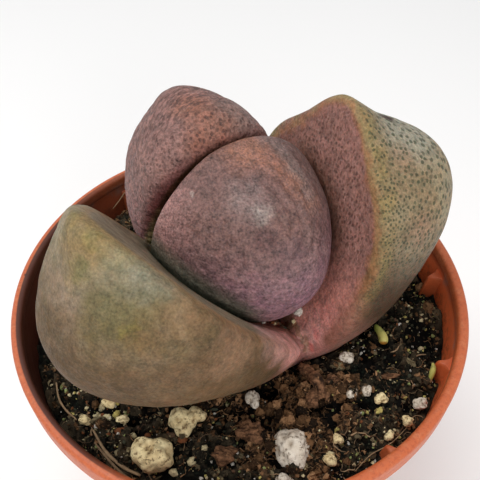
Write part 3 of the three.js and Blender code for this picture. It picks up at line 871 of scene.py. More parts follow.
def old_right_skin():
    """The right-hand old leaf: olive outside with dark dots, purple-brown on its face."""
    t = Material("Old leaf skin, right")
    place = t.place()
    shaken = t.shaken(place, 1.2, 1.4)
    margin = t.attribute("from_margin")
    tipward = t.attribute("tipward")
    crease = t.attribute("from_crease")
    new = t.attribute("from_new")
    big = t.mottling(place, 130, 0.12)
    small = t.mottling(place, 560, 0.2)
    wavy = t.noise(place, 2.2, detail=3)
    edge = t.maths("ADD", margin, t.between(wavy, 0.3, 0.7, -0.7, 0.7, "LINEAR"))

    outer = t.mix(big, paint(158, 145, 116), paint(138, 121, 92))
    outer = t.over(outer, (164, 136, 106), small, 0.45)
    # Darker and browner towards the base: partly the leaf's own brown, partly painted shade.
    low = t.between(tipward, 0.8, -0.1)
    outer = t.over(outer, (80, 58, 44), low, 0.94)
    outer = painted(t, shaken, outer, [
        # The first two patches are a painted grey highlight; the last two are pinkish spots of the skin.
        ((20.5, 5.5, 79.8), 7, 0.75, (160, 158, 142)),
        ((17.5, 8.0, 81.5), 4, 0.5, (150, 150, 130)),
        ((22.0, -5.0, 73.0), 3.5, 0.35, (156, 112, 94)),
        ((19.5, 1.0, 79.3), 2.6, 0.35, (160, 122, 98)),
    ])
    ochre = t.product(t.between(edge, 4.4, 1.0), t.between(tipward, -0.9, 0.1, 0.35, 1))
    outer = t.over(outer, (148, 118, 76), ochre, 0.5)
    green = t.product(t.between(edge, 0.8, 1.5), t.between(edge, 3.6, 2.0), t.between(small, 0, 1, 0.2, 1))
    outer = t.over(outer, (132, 132, 74), green, t.between(tipward, -0.4, 0.4, 0.0, 0.28))
    dots = t.dots(t.map_of("skin"), 930, 0.28)
    faint = t.between(tipward, -0.8, -0.1, 0.2, 1)
    outer_dots = t.product(dots, t.between(margin, 0.3, 1.6), faint)
    outer = t.over(outer, (66, 72, 52), outer_dots, 0.78)

    face = t.mix(big, paint(164, 120, 110), paint(150, 110, 100))
    streak = t.noise(t.stretched(place, (1.6, 1.6, 0.5)), 0.6, detail=3)
    face = t.over(face, (176, 132, 122), t.between(streak, 0.5, 0.72), 0.45)
    face = t.over(face, (104, 70, 64), t.between(streak, 0.5, 0.3), 0.5)
    long_way = t.stretched(t.map_of("face"), (1, 0.72, 1))
    specks = t.product(t.dots(long_way, 1550, 0.26), t.between(tipward, -0.6, 0.4, 0.15, 0.85))
    face = t.over(face, (86, 58, 52), specks, 0.8)
    near_margin = t.between(edge, -3.6, -0.6)
    face = t.over(face, (138, 98, 88), near_margin, 0.35)
    shaded = t.product(t.between(new, 2.6, 0.0), t.between(crease, 5, 11), 0.7)
    face = t.over(face, (96, 62, 42), shaded)

    on_margin = t.product(t.between(edge, -0.8, 0.0), t.between(edge, 1.1, 0.3))
    rust = t.product(on_margin, t.between(tipward, -0.8, 0.1, 0.3, 1))
    colour = t.mix(t.between(margin, -0.35, 0.35), face, outer)
    colour = painted(t, shaken, colour, [
        ((6.4, 12.6, 75.2), 2.8, 0.75, (146, 102, 90)),
        ((8.6, 11.2, 78.6), 2.6, 0.75, (146, 102, 90)),
        ((10.4, 9.6, 81.3), 2.2, 0.65, (146, 102, 86)),
    ])
    colour = t.over(colour, (158, 104, 68), rust, 0.42)
    rosy = t.product(t.between(crease, 18, 8), t.between(margin, 1.8, -0.8))
    colour = t.over(colour, (228, 158, 144), rosy, t.between(streak, 0.35, 0.6, 0.5, 0.85))
    colour = t.crease_flesh(place, colour, margin, crease)
    colour = painted(t, shaken, colour, [
        ((18.5, 6.9, 80.8), 1.4, 1.0, (58, 32, 26)),
        ((17.5, 6.8, 81.2), 1.0, 0.8, (84, 50, 40)),
    ])
    colour = t.speckled(place, colour, 0.62)
    pimples = t.maths("ADD", outer_dots, t.product(specks, 0.4))
    normal = leaf_bump(t, place, pimples, 1.2)
    rough = t.between(small, 0, 1, 0.5, 0.6)
    return t.finish(colour, rough, normal, 0.18, **OLD_FLESH)


def old_left_skin():
    """The left-hand old leaf: pale olive-grey with blurred yellow, green and orange mottling."""
    t = Material("Old leaf skin, left")
    place = t.place()
    shaken = t.shaken(t.shaken(place, 4.0, 6.0), 1.2, 2.4)
    margin = t.attribute("from_margin")
    crease = t.attribute("from_crease")
    new = t.attribute("from_new")
    height = t.coordinates(place)[2]
    big = t.mottling(place, 150, 0.13)
    other = t.mottling(t.shaken(place, 3, 3), 260, 0.12)
    small = t.mottling(place, 620, 0.2)
    beyond = t.stretched(place, (1, 1, 1), (0.7, 0.4, 1.9))
    olive = t.mottling(beyond, 380, 0.1)
    pale = t.mottling(beyond, 540, 0.1)

    outer = t.mix(big, paint(152, 138, 112), paint(134, 120, 92))
    outer = t.over(outer, (160, 130, 96), other, 0.4)
    outer = t.over(outer, (112, 112, 76), olive, 0.42)
    outer = t.over(outer, (168, 158, 134), pale, 0.3)
    outer = painted(t, shaken, outer, [
        ((-17.9, -20.1, 79.0), 6.0, 0.5, (162, 140, 124)),
        ((-14.5, -17.5, 86.2), 4.5, 0.5, (160, 136, 90)),
        ((-15.8, -19.0, 83.4), 4.5, 0.5, (158, 130, 86)),
        ((-14.8, -17.8, 85.4), 1.6, 0.25, (156, 146, 84)),
        ((-14.1, -15.5, 85.3), 3.0, 0.5, (136, 142, 86)),
        ((-11.3, -17.5, 84.2), 4.0, 0.5, (156, 150, 104)),
        ((-15.4, -19.6, 82.4), 2.0, 0.4, (112, 120, 66)),
        ((-9.5, -20.0, 83.0), 4.2, 0.4, (150, 143, 122)),
        ((-9.2, -21.4, 82.0), 3.0, 0.4, (146, 148, 132)),
        ((-12.6, -21.6, 81.4), 5.0, 0.4, (140, 132, 110)),
        ((-11.4, -23.3, 79.7), 5.0, 0.65, (112, 106, 64)),
        ((-8.4, -24.0, 79.0), 4.0, 0.55, (124, 98, 56)),
        ((-10.4, -23.9, 78.9), 1.5, 0.4, (148, 140, 66)),
        ((-5.0, -22.8, 79.6), 4.0, 0.45, (160, 122, 86)),
        ((-2.6, -22.6, 77.4), 4.0, 0.5, (156, 116, 82)),
        ((-2.9, -23.3, 76.4), 2.2, 0.45, (112, 114, 74)),
        ((-0.5, -21.1, 75.2), 3.4, 0.5, (152, 114, 94)),
    ])
    outer = t.over(outer, (100, 92, 68), small, 0.34)
    # Darker and browner towards the bottom: partly the leaf's own brown, partly painted shade.
    uneven = t.maths("ADD", height, t.between(other, 0, 1, -0.8 * MM, 0.8 * MM))
    low = t.between(uneven, 84 * MM, 73 * MM)
    outer = t.mix(t.product(low, 0.82), outer, t.mix(big, paint(104, 76, 50), paint(86, 62, 40)))
    outer = painted(t, shaken, outer, [((0.4, -21.4, 71.8), 5.5, 0.5, (156, 122, 96))])
    rim_light = t.product(t.between(margin, 2.6, 0.4), t.between(big, 0, 1, 0.3, 1))
    outer = t.over(outer, (160, 122, 84), rim_light, 0.55)

    face = t.mix(big, paint(148, 132, 112), paint(130, 116, 96))
    face = t.over(face, (92, 78, 62), small, 0.45)
    shaded = t.product(t.between(new, 1.6, 0.0), t.between(crease, 6, 13), 0.8)
    face = t.over(face, (70, 66, 44), shaded)

    colour = t.mix(t.between(margin, -0.6, 0.6), face, outer)
    rosy = t.product(t.between(crease, 19, 7), t.between(margin, 2.4, -0.4))
    colour = t.over(colour, (192, 138, 126), rosy, 0.85)
    colour = t.crease_flesh(place, colour, margin, crease)
    colour = t.speckled(place, colour, 0.6)
    normal = leaf_bump(t, place, small, 1.3)
    rough = t.between(small, 0, 1, 0.52, 0.6)
    return t.finish(colour, rough, normal, 0.12, **OLD_FLESH)


def new_front_skin():
    """The round new leaf in front: mauve below, pinkish brown and orange above."""
    t = Material("New leaf skin, front")
    place = t.place()
    shaken = t.shaken(place, 1.8, 2.2)
    margin = t.attribute("from_margin")
    left = t.attribute("from_left_leaf")
    x, y, z = t.coordinates(shaken)
    big = t.mottling(place, 190, 0.14)
    small = t.mottling(place, 760, 0.18)

    colour = t.mix(t.between(z, 68 * MM, 77 * MM), paint(148, 110, 122), paint(120, 89, 82))
    colour = t.over(colour, (198, 148, 142), t.between(x, -4 * MM, -10 * MM), 0.9)
    colour = painted(t, shaken, colour, [
        ((-4.5, 0.0, 80.4), 4.0, 0.5, (160, 118, 102)),
        ((0.6, -0.2, 81.6), 4.6, 0.75, (172, 118, 92)),
        ((4.3, -1.0, 80.4), 3.6, 0.75, (170, 114, 88)),
        ((6.2, -3.0, 79.0), 2.8, 0.7, (164, 114, 90)),
        ((8.2, -3.6, 77.2), 2.6, 0.6, (158, 112, 92)),
        # The next three pale grey patches are painted highlights.
        ((0.9, -6.2, 79.5), 3.6, 0.65, (142, 128, 124)),
        ((2.4, -7.6, 78.6), 1.7, 0.55, (176, 166, 158)),
        ((-5.5, -4.7, 78.8), 0.7, 0.7, (196, 182, 172)),
        ((2.7, -9.8, 76.8), 2.2, 0.7, (98, 62, 60)),
        ((-6.7, -8.9, 72.0), 2.4, 0.45, (96, 74, 82)),
        ((6.3, -10.2, 74.7), 2.6, 0.5, (98, 74, 78)),
        ((-4.5, -10.9, 70.6), 2.2, 0.4, (96, 74, 82)),
        ((8.5, -7.0, 70.5), 3.6, 0.5, (100, 74, 78)),
    ])
    # Painted highlight: a pale grey band and patches along the upper right edge.
    turned = t.maths("ADD", t.product(x, 0.75), t.product(y, 0.66))
    painted_edge_highlight = t.product(t.between(turned, 5.0 * MM, 8.0 * MM), t.between(z, 66 * MM, 76 * MM))
    colour = t.over(colour, (134, 116, 110), painted_edge_highlight, 0.6)
    colour = painted(t, shaken, colour, [
        ((3.4, 2.7, 80.8), 2.2, 0.6, (138, 120, 114)),
        ((5.2, 1.2, 80.1), 2.4, 0.75, (140, 126, 120)),
        ((6.6, -0.8, 79.2), 2.4, 0.75, (138, 124, 118)),
        ((7.8, -3.0, 77.8), 2.2, 0.6, (132, 116, 112)),
    ])
    specks = t.dots(t.map_of("skin"), 1500, 0.3, 0.16)
    colour = t.over(colour, (86, 62, 68), specks, 0.48)
    colour = t.over(colour, (158, 128, 122), small, 0.3)
    colour = t.over(colour, (104, 76, 74), big, 0.3)
    # Painted shade where the ball lies against the left leaf: green-grey near it, darker at the contact.
    green = t.product(t.between(left, 2.9, 0.9), t.between(x, 5 * MM, 0 * MM))
    colour = t.over(colour, (104, 110, 92), green, 0.75)
    painted_contact_shadow = t.product(t.between(left, 1.0, 0.1), t.between(x, 8 * MM, 3 * MM))
    colour = t.over(colour, (52, 58, 44), painted_contact_shadow, 0.8)
    inside = t.between(margin, 0.6, -0.2)
    colour = t.over(colour, (130, 126, 78), inside)
    colour = t.speckled(place, colour, 0.9)
    normal = leaf_bump(t, place, small, 1.7)
    rough = t.between(small, 0, 1, 0.48, 0.6)
    return t.finish(colour, rough, normal, 0.25, **NEW_FLESH)


def new_back_skin():
    """The taller new leaf behind: leathery mauve-brown with small dark dashes, rusty at the split."""
    t = Material("New leaf skin, back")
    place = t.place()
    shaken = t.shaken(place, 1.6, 2.0)
    margin = t.attribute("from_margin")
    z = t.coordinates(shaken)[2]
    big = t.mottling(place, 190, 0.16)
    small = t.mottling(place, 700, 0.2)

    colour = t.mix(t.between(z, 66 * MM, 78 * MM), paint(172, 126, 124), paint(150, 112, 105))
    colour = painted(t, shaken, colour, [
        ((-3.8, 3.1, 85.1), 4.6, 0.7, (152, 98, 76)),
        ((-1.2, 2.4, 83.0), 3.6, 0.7, (152, 98, 76)),
        ((-4.1, 0.3, 81.6), 3.8, 0.7, (152, 98, 76)),
        ((-6.6, 4.6, 85.0), 3.2, 0.7, (152, 98, 76)),
        ((-1.0, 5.4, 84.4), 3.8, 0.7, (128, 110, 104)),
        ((1.6, 3.6, 82.2), 3.8, 0.7, (118, 102, 96)),
        ((4.2, 1.4, 79.6), 3.6, 0.6, (104, 86, 84)),
        ((-12.0, 1.0, 77.0), 4.5, 0.4, (160, 124, 118)),
    ])
    rose = t.product(t.between(margin, 5, 0.8), t.between(z, 76 * MM, 66 * MM))
    colour = t.over(colour, (152, 96, 102), rose, 0.6)
    flat = t.map_of("skin")
    dashes = t.dots(t.stretched(flat, (0.5, 1.2, 1)), 950, 0.28)
    hide = t.noise(t.stretched(flat, (0.5, 1.3, 1)), 0.7, detail=1, roughness=0.6)
    dashes = t.maths("MAXIMUM", dashes, t.between(hide, 0.48, 0.38))
    round_dots = t.dots(flat, 800, 0.27)
    at_split = t.product(t.between(margin, 6.5, 4.0), t.between(z, 76 * MM, 80 * MM))
    marks = t.mix_values(at_split, dashes, round_dots)
    colour = t.over(colour, (70, 47, 45), marks, 0.7)
    colour = t.over(colour, (166, 132, 122), small, 0.3)
    colour = t.over(colour, (116, 84, 80), big, 0.2)
    lip = t.product(t.between(margin, 2.0, 0.3), t.between(z, 82 * MM, 76 * MM, 0.4, 0.85))
    colour = t.over(colour, (112, 58, 56), lip)
    colour = t.over(colour, (74, 44, 28), t.between(margin, 0.2, -0.4))
    colour = painted(t, place, colour, [
        ((-9.9, -2.7, 73.8), 1.0, 0.4, (112, 96, 66)),
        ((-10.3, -2.7, 72.7), 1.1, 0.5, (120, 104, 72)),
        ((-10.6, -2.7, 71.6), 1.2, 0.6, (134, 122, 82)),
        ((-10.9, -2.7, 70.5), 1.2, 0.7, (148, 138, 94)),
        ((-11.2, -2.6, 69.4), 1.3, 0.75, (162, 152, 106)),
        ((-11.5, -2.6, 68.2), 1.4, 0.8, (172, 162, 114)),
        ((-11.6, -2.5, 67.0), 1.4, 0.8, (172, 162, 114)),
    ])
    colour = t.speckled(place, colour, 0.8)
    normal = leaf_bump(t, place, t.maths("SUBTRACT", 1, marks), 2.0)
    rough = t.between(small, 0, 1, 0.5, 0.64)
    return t.finish(colour, rough, normal, 0.22, **NEW_FLESH)


def pot_plastic():
    """Terracotta-coloured moulded plastic, dusty inside below the lip and stained near the soil, with
    painted shade inside and painted light on the right inner wall.
    """
    t = Material("Pot plastic")
    place = t.place()
    x, y, z = t.coordinates(place)
    radius = t.vector_maths("LENGTH", t.vector(x, y, 0), result="Value")
    inner = t.attribute("inner")
    cloudy = t.noise(place, 7, detail=3)
    grain = t.grain(place, 2600)
    dusty = t.noise(place, 1.3, detail=4, roughness=0.7)
    colour = t.mix(cloudy, paint(188, 91, 49), paint(198, 102, 58))
    colour = t.over(colour, (206, 132, 90), t.between(dusty, 0.45, 0.7, 0, 0.4))
    colour = t.over(colour, (150, 66, 38), t.between(grain, 0.55, 0.35, 0, 0.4))
    # The inside below the lip is painted a little darker, as shade; 'sunlit' is painted light on the right
    # inner wall.
    deep = t.product(inner, t.between(z, 55 * MM, 53.4 * MM))
    sunlit = t.product(inner, t.between(x, 20 * MM, 28 * MM))
    colour = t.over(colour, (184, 82, 44), deep, 0.5)
    colour = t.over(colour, (246, 118, 66), sunlit, t.between(z, 54 * MM, 52.5 * MM), 0.9)
    scum = t.noise(t.stretched(place, (1, 1, 0.25)), 2.2, detail=4, roughness=0.65)
    band = t.product(inner, t.between(z, 55.2 * MM, 54.4 * MM), t.between(z, 52.0 * MM, 53.4 * MM))
    colour = t.over(colour, (150, 140, 132), band, t.between(scum, 0.45, 0.7), 0.55)
    soiled = t.noise(place, 1.0, detail=4, roughness=0.7)
    stain = t.product(inner, t.between(z, 53.0 * MM, 50 * MM), t.between(soiled, 0.42, 0.65))
    colour = t.over(colour, (80, 42, 26), stain, 0.5)
    # Painted shade on the inner wall behind the left leaf.
    behind = t.product(inner, t.between(x, -8 * MM, -20 * MM), t.between(y, 14 * MM, 23 * MM, 1.0, 0.6))
    colour = t.over(colour, (50, 22, 14), behind, 0.9)
    colour = painted(t, place, colour, [
        ((-30.9, 5.8, 55.8), 0.45, 0.5, (60, 30, 20)),
        ((-31.6, 2.2, 55.9), 0.35, 0.8, (50, 26, 18)),
    ])
    outside_rim = t.between(radius, 31 * MM, 32.4 * MM)
    scuff = t.noise(t.stretched(place, (1, 1, 3)), 3.2, detail=4, roughness=0.7)
    colour = t.over(colour, (226, 160, 128), outside_rim, t.between(scuff, 0.58, 0.78), 0.25)
    normal = t.bump(grain, 0.25, 0.08)
    normal = t.bump(scuff, 0.12, 0.15, normal)
    rough = t.between(scuff, 0.3, 0.7, 0.42, 0.56)
    return t.finish(colour, rough, normal, 0.5)


def dark_soil():
    """Damp peat mix: painted near black in its holes as shade and paler on its clods, brown where it is
    drier, greenish where algae grow.
    """
    t = Material("Dark soil")
    place = t.place()
    shade = t.attribute("shade")
    brown = t.attribute("brown")
    wide = t.noise(place, 5, detail=2)
    fine = t.noise(place, 0.4, detail=4, roughness=0.7)
    # The stored 'shade' follows the height: near black in the hollows and paler on the clods, as painted
    # shade and light.
    colour = t.mix(shade, paint(12, 10, 9), paint(72, 62, 48))
    colour = t.over(colour, (116, 82, 56), brown, shade)
    dark = t.maths("SUBTRACT", 1, brown)
    green = t.product(t.between(wide, 0.58, 0.42), t.between(fine, 0.45, 0.65), dark)
    colour = t.over(colour, (46, 56, 44), green, 0.5)
    colour = t.over(colour, (122, 92, 66), t.between(fine, 0.5, 0.72), shade, 0.6)
    normal = t.bump(fine, 0.8, 0.35)
    rough = t.between(fine, 0.3, 0.7, 0.95, 0.7)
    return t.finish(colour, rough, normal, 0.12)


def soil_crumb(name, dark, middle, pale):
    """Loose crumbs of the mix, each with its own shade between three browns."""
    t = Material(name)
    place = t.place()
    shade = t.attribute("shade")
    fine = t.noise(place, 0.25, detail=3, roughness=0.7)
    colour = t.mix(t.between(shade, 0.2, 0.8), dark, middle)
    colour = t.mix(t.between(shade, 0.8, 1.0), colour, pale)
    colour = t.mix(t.between(fine, 0.5, 0.3, 0, 0.7), colour, dark)
    colour = t.mix(t.between(fine, 0.55, 0.75, 0, 0.4), colour, pale)
    return t.finish(colour, 0.85, t.bump(fine, 0.8, 0.2), 0.12)


def grain_stone(name, pale, dark, stain):
    """Rough mineral grains: pale skin, pits painted darker as shade, and a little staining from the soil.
    """
    t = Material(name)
    place = t.place()
    blotch = t.mottling(place, 700, 0.18)
    pits = t.grain(place, 1800)
    shade = t.attribute("shade")
    colour = t.mix(shade, pale, dark)
    colour = t.mix(t.product(blotch, 0.4), colour, stain)
    # The fine pits are painted darker, as shade.
    colour = t.mix(t.product(t.between(pits, 0.5, 0.34), 0.85), colour, dark)
    normal = t.bump(pits, 0.8, 0.3)
    return t.finish(colour, 0.85, normal, 0.25)


def bark_wood():
    """Crumbled composted bark: brown lumps with streaks of fibre."""
    t = Material("Composted bark")
    place = t.place()
    shade = t.attribute("shade")
    fibre = t.noise(t.stretched(place, (0.35, 1, 1.2)), 0.5, detail=4, roughness=0.7)
    colour = t.mix(t.between(fibre, 0.3, 0.7), paint(58, 38, 26), paint(150, 108, 78))
    colour = t.over(colour, (36, 22, 14), shade)
    flecks = t.noise(place, 0.5, detail=3, roughness=0.7)
    colour = t.over(colour, (168, 124, 86), t.between(flecks, 0.55, 0.75, 0, 0.7))
    normal = t.bump(fibre, 0.9, 0.35)
    return t.finish(colour, 0.9, normal, 0.2)


def coloured_bits():
    """Small bits in the mix, each with a colour of its own from white to yellow, green and rust."""
    t = Material("Small grit")
    place = t.place()
    shade = t.attribute("shade")
    ramp = t.node("ShaderNodeValToRGB", {"Fac": shade})
    stops = [
        (0.0, paint(224, 208, 164)), (0.2, paint(206, 190, 112)), (0.36, paint(150, 160, 100)),
        (0.5, paint(60, 66, 52)), (0.66, paint(132, 76, 42)), (0.78, paint(90, 66, 48)),
        (0.88, paint(226, 220, 208)),
    ]
    ramp.color_ramp.interpolation = "CONSTANT"
    ramp.color_ramp.elements[0].color = stops[0][1]
    ramp.color_ramp.elements[1].position = stops[-1][0]
    ramp.color_ramp.elements[1].color = stops[-1][1]
    for position, colour in stops[1:-1]:
        ramp.color_ramp.elements.new(position).color = colour
    fine = t.noise(place, 0.3, detail=3)
    colour = t.mix(t.between(fine, 0.3, 0.7, 0, 0.45), ramp.outputs["Color"], paint(70, 58, 44))
    normal = t.bump(fine, 0.5, 0.15)
    return t.finish(colour, 0.85, normal, 0.25)


def root_fibre(name, dark, pale):
    """Dry threads of root and bark, from dark to pale."""
    t = Material(name)
    place = t.place()
    shade = t.attribute("shade")
    streak = t.noise(place, 0.6, detail=3)
    colour = t.mix(shade, dark, pale)
    colour = t.over(colour, (90, 66, 46), t.between(streak, 0.4, 0.7), 0.5)
    return t.finish(colour, 0.8, t.bump(streak, 0.4, 0.1), 0.3)


def green_pellet():
    """The flesh of the small yellow-green sprout, rusty in its darkest shade."""
    t = Material("Yellow-green sprout")
    place = t.place()
    shade = t.attribute("shade")
    streak = t.noise(place, 0.9, detail=3)
    colour = t.mix(t.between(shade, 0.1, 0.75), paint(140, 152, 60), paint(216, 206, 118))
    colour = t.over(colour, (120, 128, 58), t.between(streak, 0.5, 0.7), 0.6)
    colour = t.over(colour, (176, 118, 44), t.between(shade, 0.9, 0.98))
    return t.finish(colour, 0.5, t.bump(streak, 0.4, 0.2), 0.4)


def stem_bark():
    """The short woody stem and root neck, in the soil under the leaves."""
    t = Material("Stem bark")
    place = t.place()
    rings = t.noise(t.stretched(place, (0.6, 0.6, 2)), 1.2, detail=3)
    colour = t.mix(rings, paint(88, 66, 50), paint(138, 108, 82))
    return t.finish(colour, 0.85, t.bump(rings, 0.6, 0.3), 0.25)


MATERIALS = {
    "pot": pot_plastic(),
    "soil": dark_soil(),
    "dark crumb": soil_crumb("Dark crumbs", paint(22, 20, 16), paint(72, 62, 48), paint(142, 128, 98)),
    "brown crumb": soil_crumb("Brown crumbs", paint(26, 18, 12), paint(118, 86, 58), paint(170, 130, 94)),
    "perlite": grain_stone("Perlite", paint(240, 230, 214), paint(112, 94, 74), paint(198, 178, 152)),
    "pumice": grain_stone("Pumice", paint(250, 232, 182), paint(104, 78, 48), paint(208, 170, 112)),
    "bark": bark_wood(),
    "grit": coloured_bits(),
    "fibre": root_fibre("Root fibre", paint(60, 42, 30), paint(176, 146, 112)),
    "brown fibre": root_fibre("Brown fibre", paint(74, 50, 34), paint(164, 124, 86)),
    "pellet": green_pellet(),
}


# Pot

def rounded_outline(corners, steps=5):
    """An outline through corners (r, z, rounding), each corner rounded by an arc-like curve."""
    points = []
    for index, (r, z, rounding) in enumerate(corners):
        here = np.array([r, z])
        if rounding == 0:
            points.append(here)
            continue
        before = np.array(corners[index - 1][:2]) - here
        after = np.array(corners[index + 1][:2]) - here
        start = here + before / np.linalg.norm(before) * rounding
        end = here + after / np.linalg.norm(after) * rounding
        for step in range(steps + 1):
            t = step / steps
            points.append((1 - t) ** 2 * start + 2 * t * (1 - t) * here + t * t * end)
    return np.array(points)


def outer_wall_radius(z):
    return FOOT_RADIUS + (BODY_TOP_RADIUS - FOOT_RADIUS) * z / (POT_HEIGHT - RIM_BAND)


def inner_wall_radius(z):
    return outer_wall_radius(z) - WALL


def pot_outline():
    band_foot = POT_HEIGHT - RIM_BAND
    lip_inner = RIM_RADIUS - LIP_WIDTH
    ledge = POT_HEIGHT - LEDGE_BELOW_RIM
    return rounded_outline([
        (0, BASE_HOLLOW, 0),
        (FOOT_RING_INNER - 0.6, BASE_HOLLOW, 0.4),
        (FOOT_RING_INNER, 0, 0.3),
        (FOOT_RADIUS, 0, 0.9),
        (outer_wall_radius(band_foot), band_foot, 0.3),
        (RIM_RADIUS - 0.15, band_foot, 0.4),
        (RIM_RADIUS, POT_HEIGHT, 0.75),
        (lip_inner, POT_HEIGHT, 0.6),
        (lip_inner - 0.15, ledge, 0.3),
        (inner_wall_radius(ledge) + 0.12, ledge - 0.35, 0.2),
        (inner_wall_radius(FLOOR), FLOOR, 1.5),
        (0, FLOOR, 0),
    ])


def pot_piece():
    """The pot turned from its outline, with its ribs and drain holes. "inner" is 1 inside the lip."""
    outline = pot_outline()
    # The long walls get rings of their own, so that their faces stay near square.
    dense = [outline[0]]
    for before, after in zip(outline[:-1], outline[1:]):
        count = max(1, int(np.linalg.norm(after - before) / LONGEST_WALL_FACE))
        dense.extend(before + (after - before) * (k + 1) / count for k in range(count))
    dense = np.array(dense)
    turns = all_round(POT_SECTORS)
    rings = dense[1:-1]
    points = [(0, 0, dense[0][1])]
    inner = [0]
    lip_middle = RIM_RADIUS - LIP_WIDTH / 2
    past_lip = int(np.argmax(rings[:, 1] > POT_HEIGHT - 0.01))
    for index, (r, z) in enumerate(rings):
        # A thin moulded pot is never quite round.
        wave = 1 + 0.0012 * np.sin(2 * turns + 0.6) * z / POT_HEIGHT
        points.extend(zip(r * wave * np.cos(turns), r * wave * np.sin(turns), np.full(POT_SECTORS, z)))
        inside = 1.0 if index > past_lip and r < lip_middle else 0.0
        inner.extend([inside] * POT_SECTORS)
    points.append((0, 0, dense[-1][1]))
    inner.append(1)
    faces = turned_over(ring_faces(len(rings), POT_SECTORS, first=1) + fan(0, 1, POT_SECTORS))
    faces += fan(len(points) - 1, 1 + (len(rings) - 1) * POT_SECTORS, POT_SECTORS)
    for index in range(RIB_COUNT):
        rib_points, rib_faces = stacking_rib(index, len(points))
        points.extend(rib_points)
        faces.extend(rib_faces)
        inner.extend([RIB_INNER] * len(rib_points))
    mesh = new_mesh("pot", points, faces)
    give_values(mesh, "inner", inner)
    pot = in_scene("pot_shell", mesh)
    drill = drain_hole_cutter()
    cut = pot.modifiers.new("Drain holes", "BOOLEAN")
    cut.operation = "DIFFERENCE"
    cut.solver = "EXACT"
    cut.object = drill
    finished = finished_mesh(pot)
    pot.modifiers.clear()
    bpy.data.objects.remove(drill)
    pot.data = finished
    finished.shade_smooth()
    finished.set_sharp_from_angle(angle=math.radians(SHARP_ANGLE))
    finished.materials.append(MATERIALS["pot"])
    settle(pot, ["pot"])


def stacking_rib(index, first):
    """An upright rib that flares into the inner wall, with a rounded nose and a sloping top."""
    top = POT_HEIGHT - RIB_TOP_BELOW_RIM
    bottom = top - RIB_HEIGHT
    turn = math.radians(RIB_FIRST_ANGLE + index * RIB_STEP)
    steps = np.linspace(-1, 1, 21)
    nose = 0.5 * RIB_WIDTH
    # The outline runs from the wall over the rounded nose and back to the wall.
    across = nose * np.sign(steps) * (0.55 * np.abs(steps) ** 0.6 + 0.8 * np.abs(steps) ** 6)
    inwards = RIB_REACH * (1 - np.abs(steps) ** 2.6)
    points = []
    levels = [(bottom, 1.0), (top - 0.7, 1.0), (top - 0.35, 0.93), (top - 0.12, 0.8), (top, 0.6)]
    for z, share in levels:
        wall = inner_wall_radius(z)
        line = [(wall + WALL * 0.6, across[0])]
        line += list(zip(wall + 0.1 - inwards * share, across))
        line += [(wall + WALL * 0.6, across[-1])]
        for x, y in line:
            points.append((
                x * math.cos(turn) - y * math.sin(turn),
                x * math.sin(turn) + y * math.cos(turn),
                z,
            ))
    return points, stack_faces(len(levels), len(steps) + 2, first)


def drain_hole_cutter():
    """Upright prisms through the floor, one for each hole."""
    points, faces = [], []
    for middle_turn in all_round(HOLE_COUNT):
        faces += stack_faces(2, HOLE_SIDES, len(points))
        for z in (-2, FLOOR + 2):
            for turn in all_round(HOLE_SIDES):
                points.append((
                    HOLE_RING * math.cos(middle_turn) + HOLE_RADIUS * math.cos(turn),
                    HOLE_RING * math.sin(middle_turn) + HOLE_RADIUS * math.sin(turn),
                    z,
                ))
    return in_scene("drill", new_mesh("drill", points, faces))


# Soil

SOIL_RIM = inner_wall_radius(SOIL_LEVEL - 0.5) - SOIL_WALL_GAP


def on_level(x, y):
    return np.stack([x, y, np.zeros_like(x)], axis=-1)


def soil_height(x, y):
    """The same low swells as the solid soil has."""
    swell = 0.35 * np.sin(0.21 * x + 1.3) * np.cos(0.17 * y - 0.4)
    crumbs = 0.3 * np.sin(1.13 * x + 0.7 * y) * np.sin(0.9 * y - 0.8 * x + 1.9)
    edge = -2.0 * smooth_step(np.hypot(x, y), 26, 30.3)
    return SOIL_LEVEL + swell + crumbs + edge


def crumbly_height(x, y):
    """The height of the loose surface with its clods and holes, and how far each place stands out."""
    flat = on_level(x, y)
    lumps = 0.5 * layered(flat, 4.4, 2, 11)
    clods = 1.6 * np.abs(layered(flat, 2.3, 3, 23, 0.6)) - 0.65
    holes = -1.7 * smooth_step(swells(flat, 2.6, 61), 0.25, 0.65)
    fine = 0.2 * swells(flat, 0.5, 31)
    stand = lumps + clods + holes + fine
    return soil_height(x, y) + stand, stand


def brown_zone(x, y):
    """From 0 to 1 where the mix is loose brown bark fibre, in front of the plant."""
    zone = np.exp(-((x - 6) / 9) ** 2 - ((y + 18) / 9) ** 2)
    return smooth_step(zone + 0.3 * swells(on_level(x, y), 4, 91), 0.25, 0.6)


def soil_surface():
    """Rings of points on the soil's top, from the wall inwards, and how far each stands out."""
    turns = all_round(SOIL_SECTORS)
    radii = SOIL_RIM * np.linspace(1, 0.02, SOIL_RINGS)
    x = (radii[:, None] * np.cos(turns)).reshape(-1)
    y = (radii[:, None] * np.sin(turns)).reshape(-1)
    z, stand = crumbly_height(x, y)
    points = np.stack([x, y, z], axis=1)
    # Under the leaves the top sinks in steps until it is clear of them.
    for _ in range(SINKING_STEPS):
        buried = outside_old_pair(points) < SOIL_CLEAR_OF_LEAVES
        points[buried, 2] -= SINKING_STEP
    return points, stand


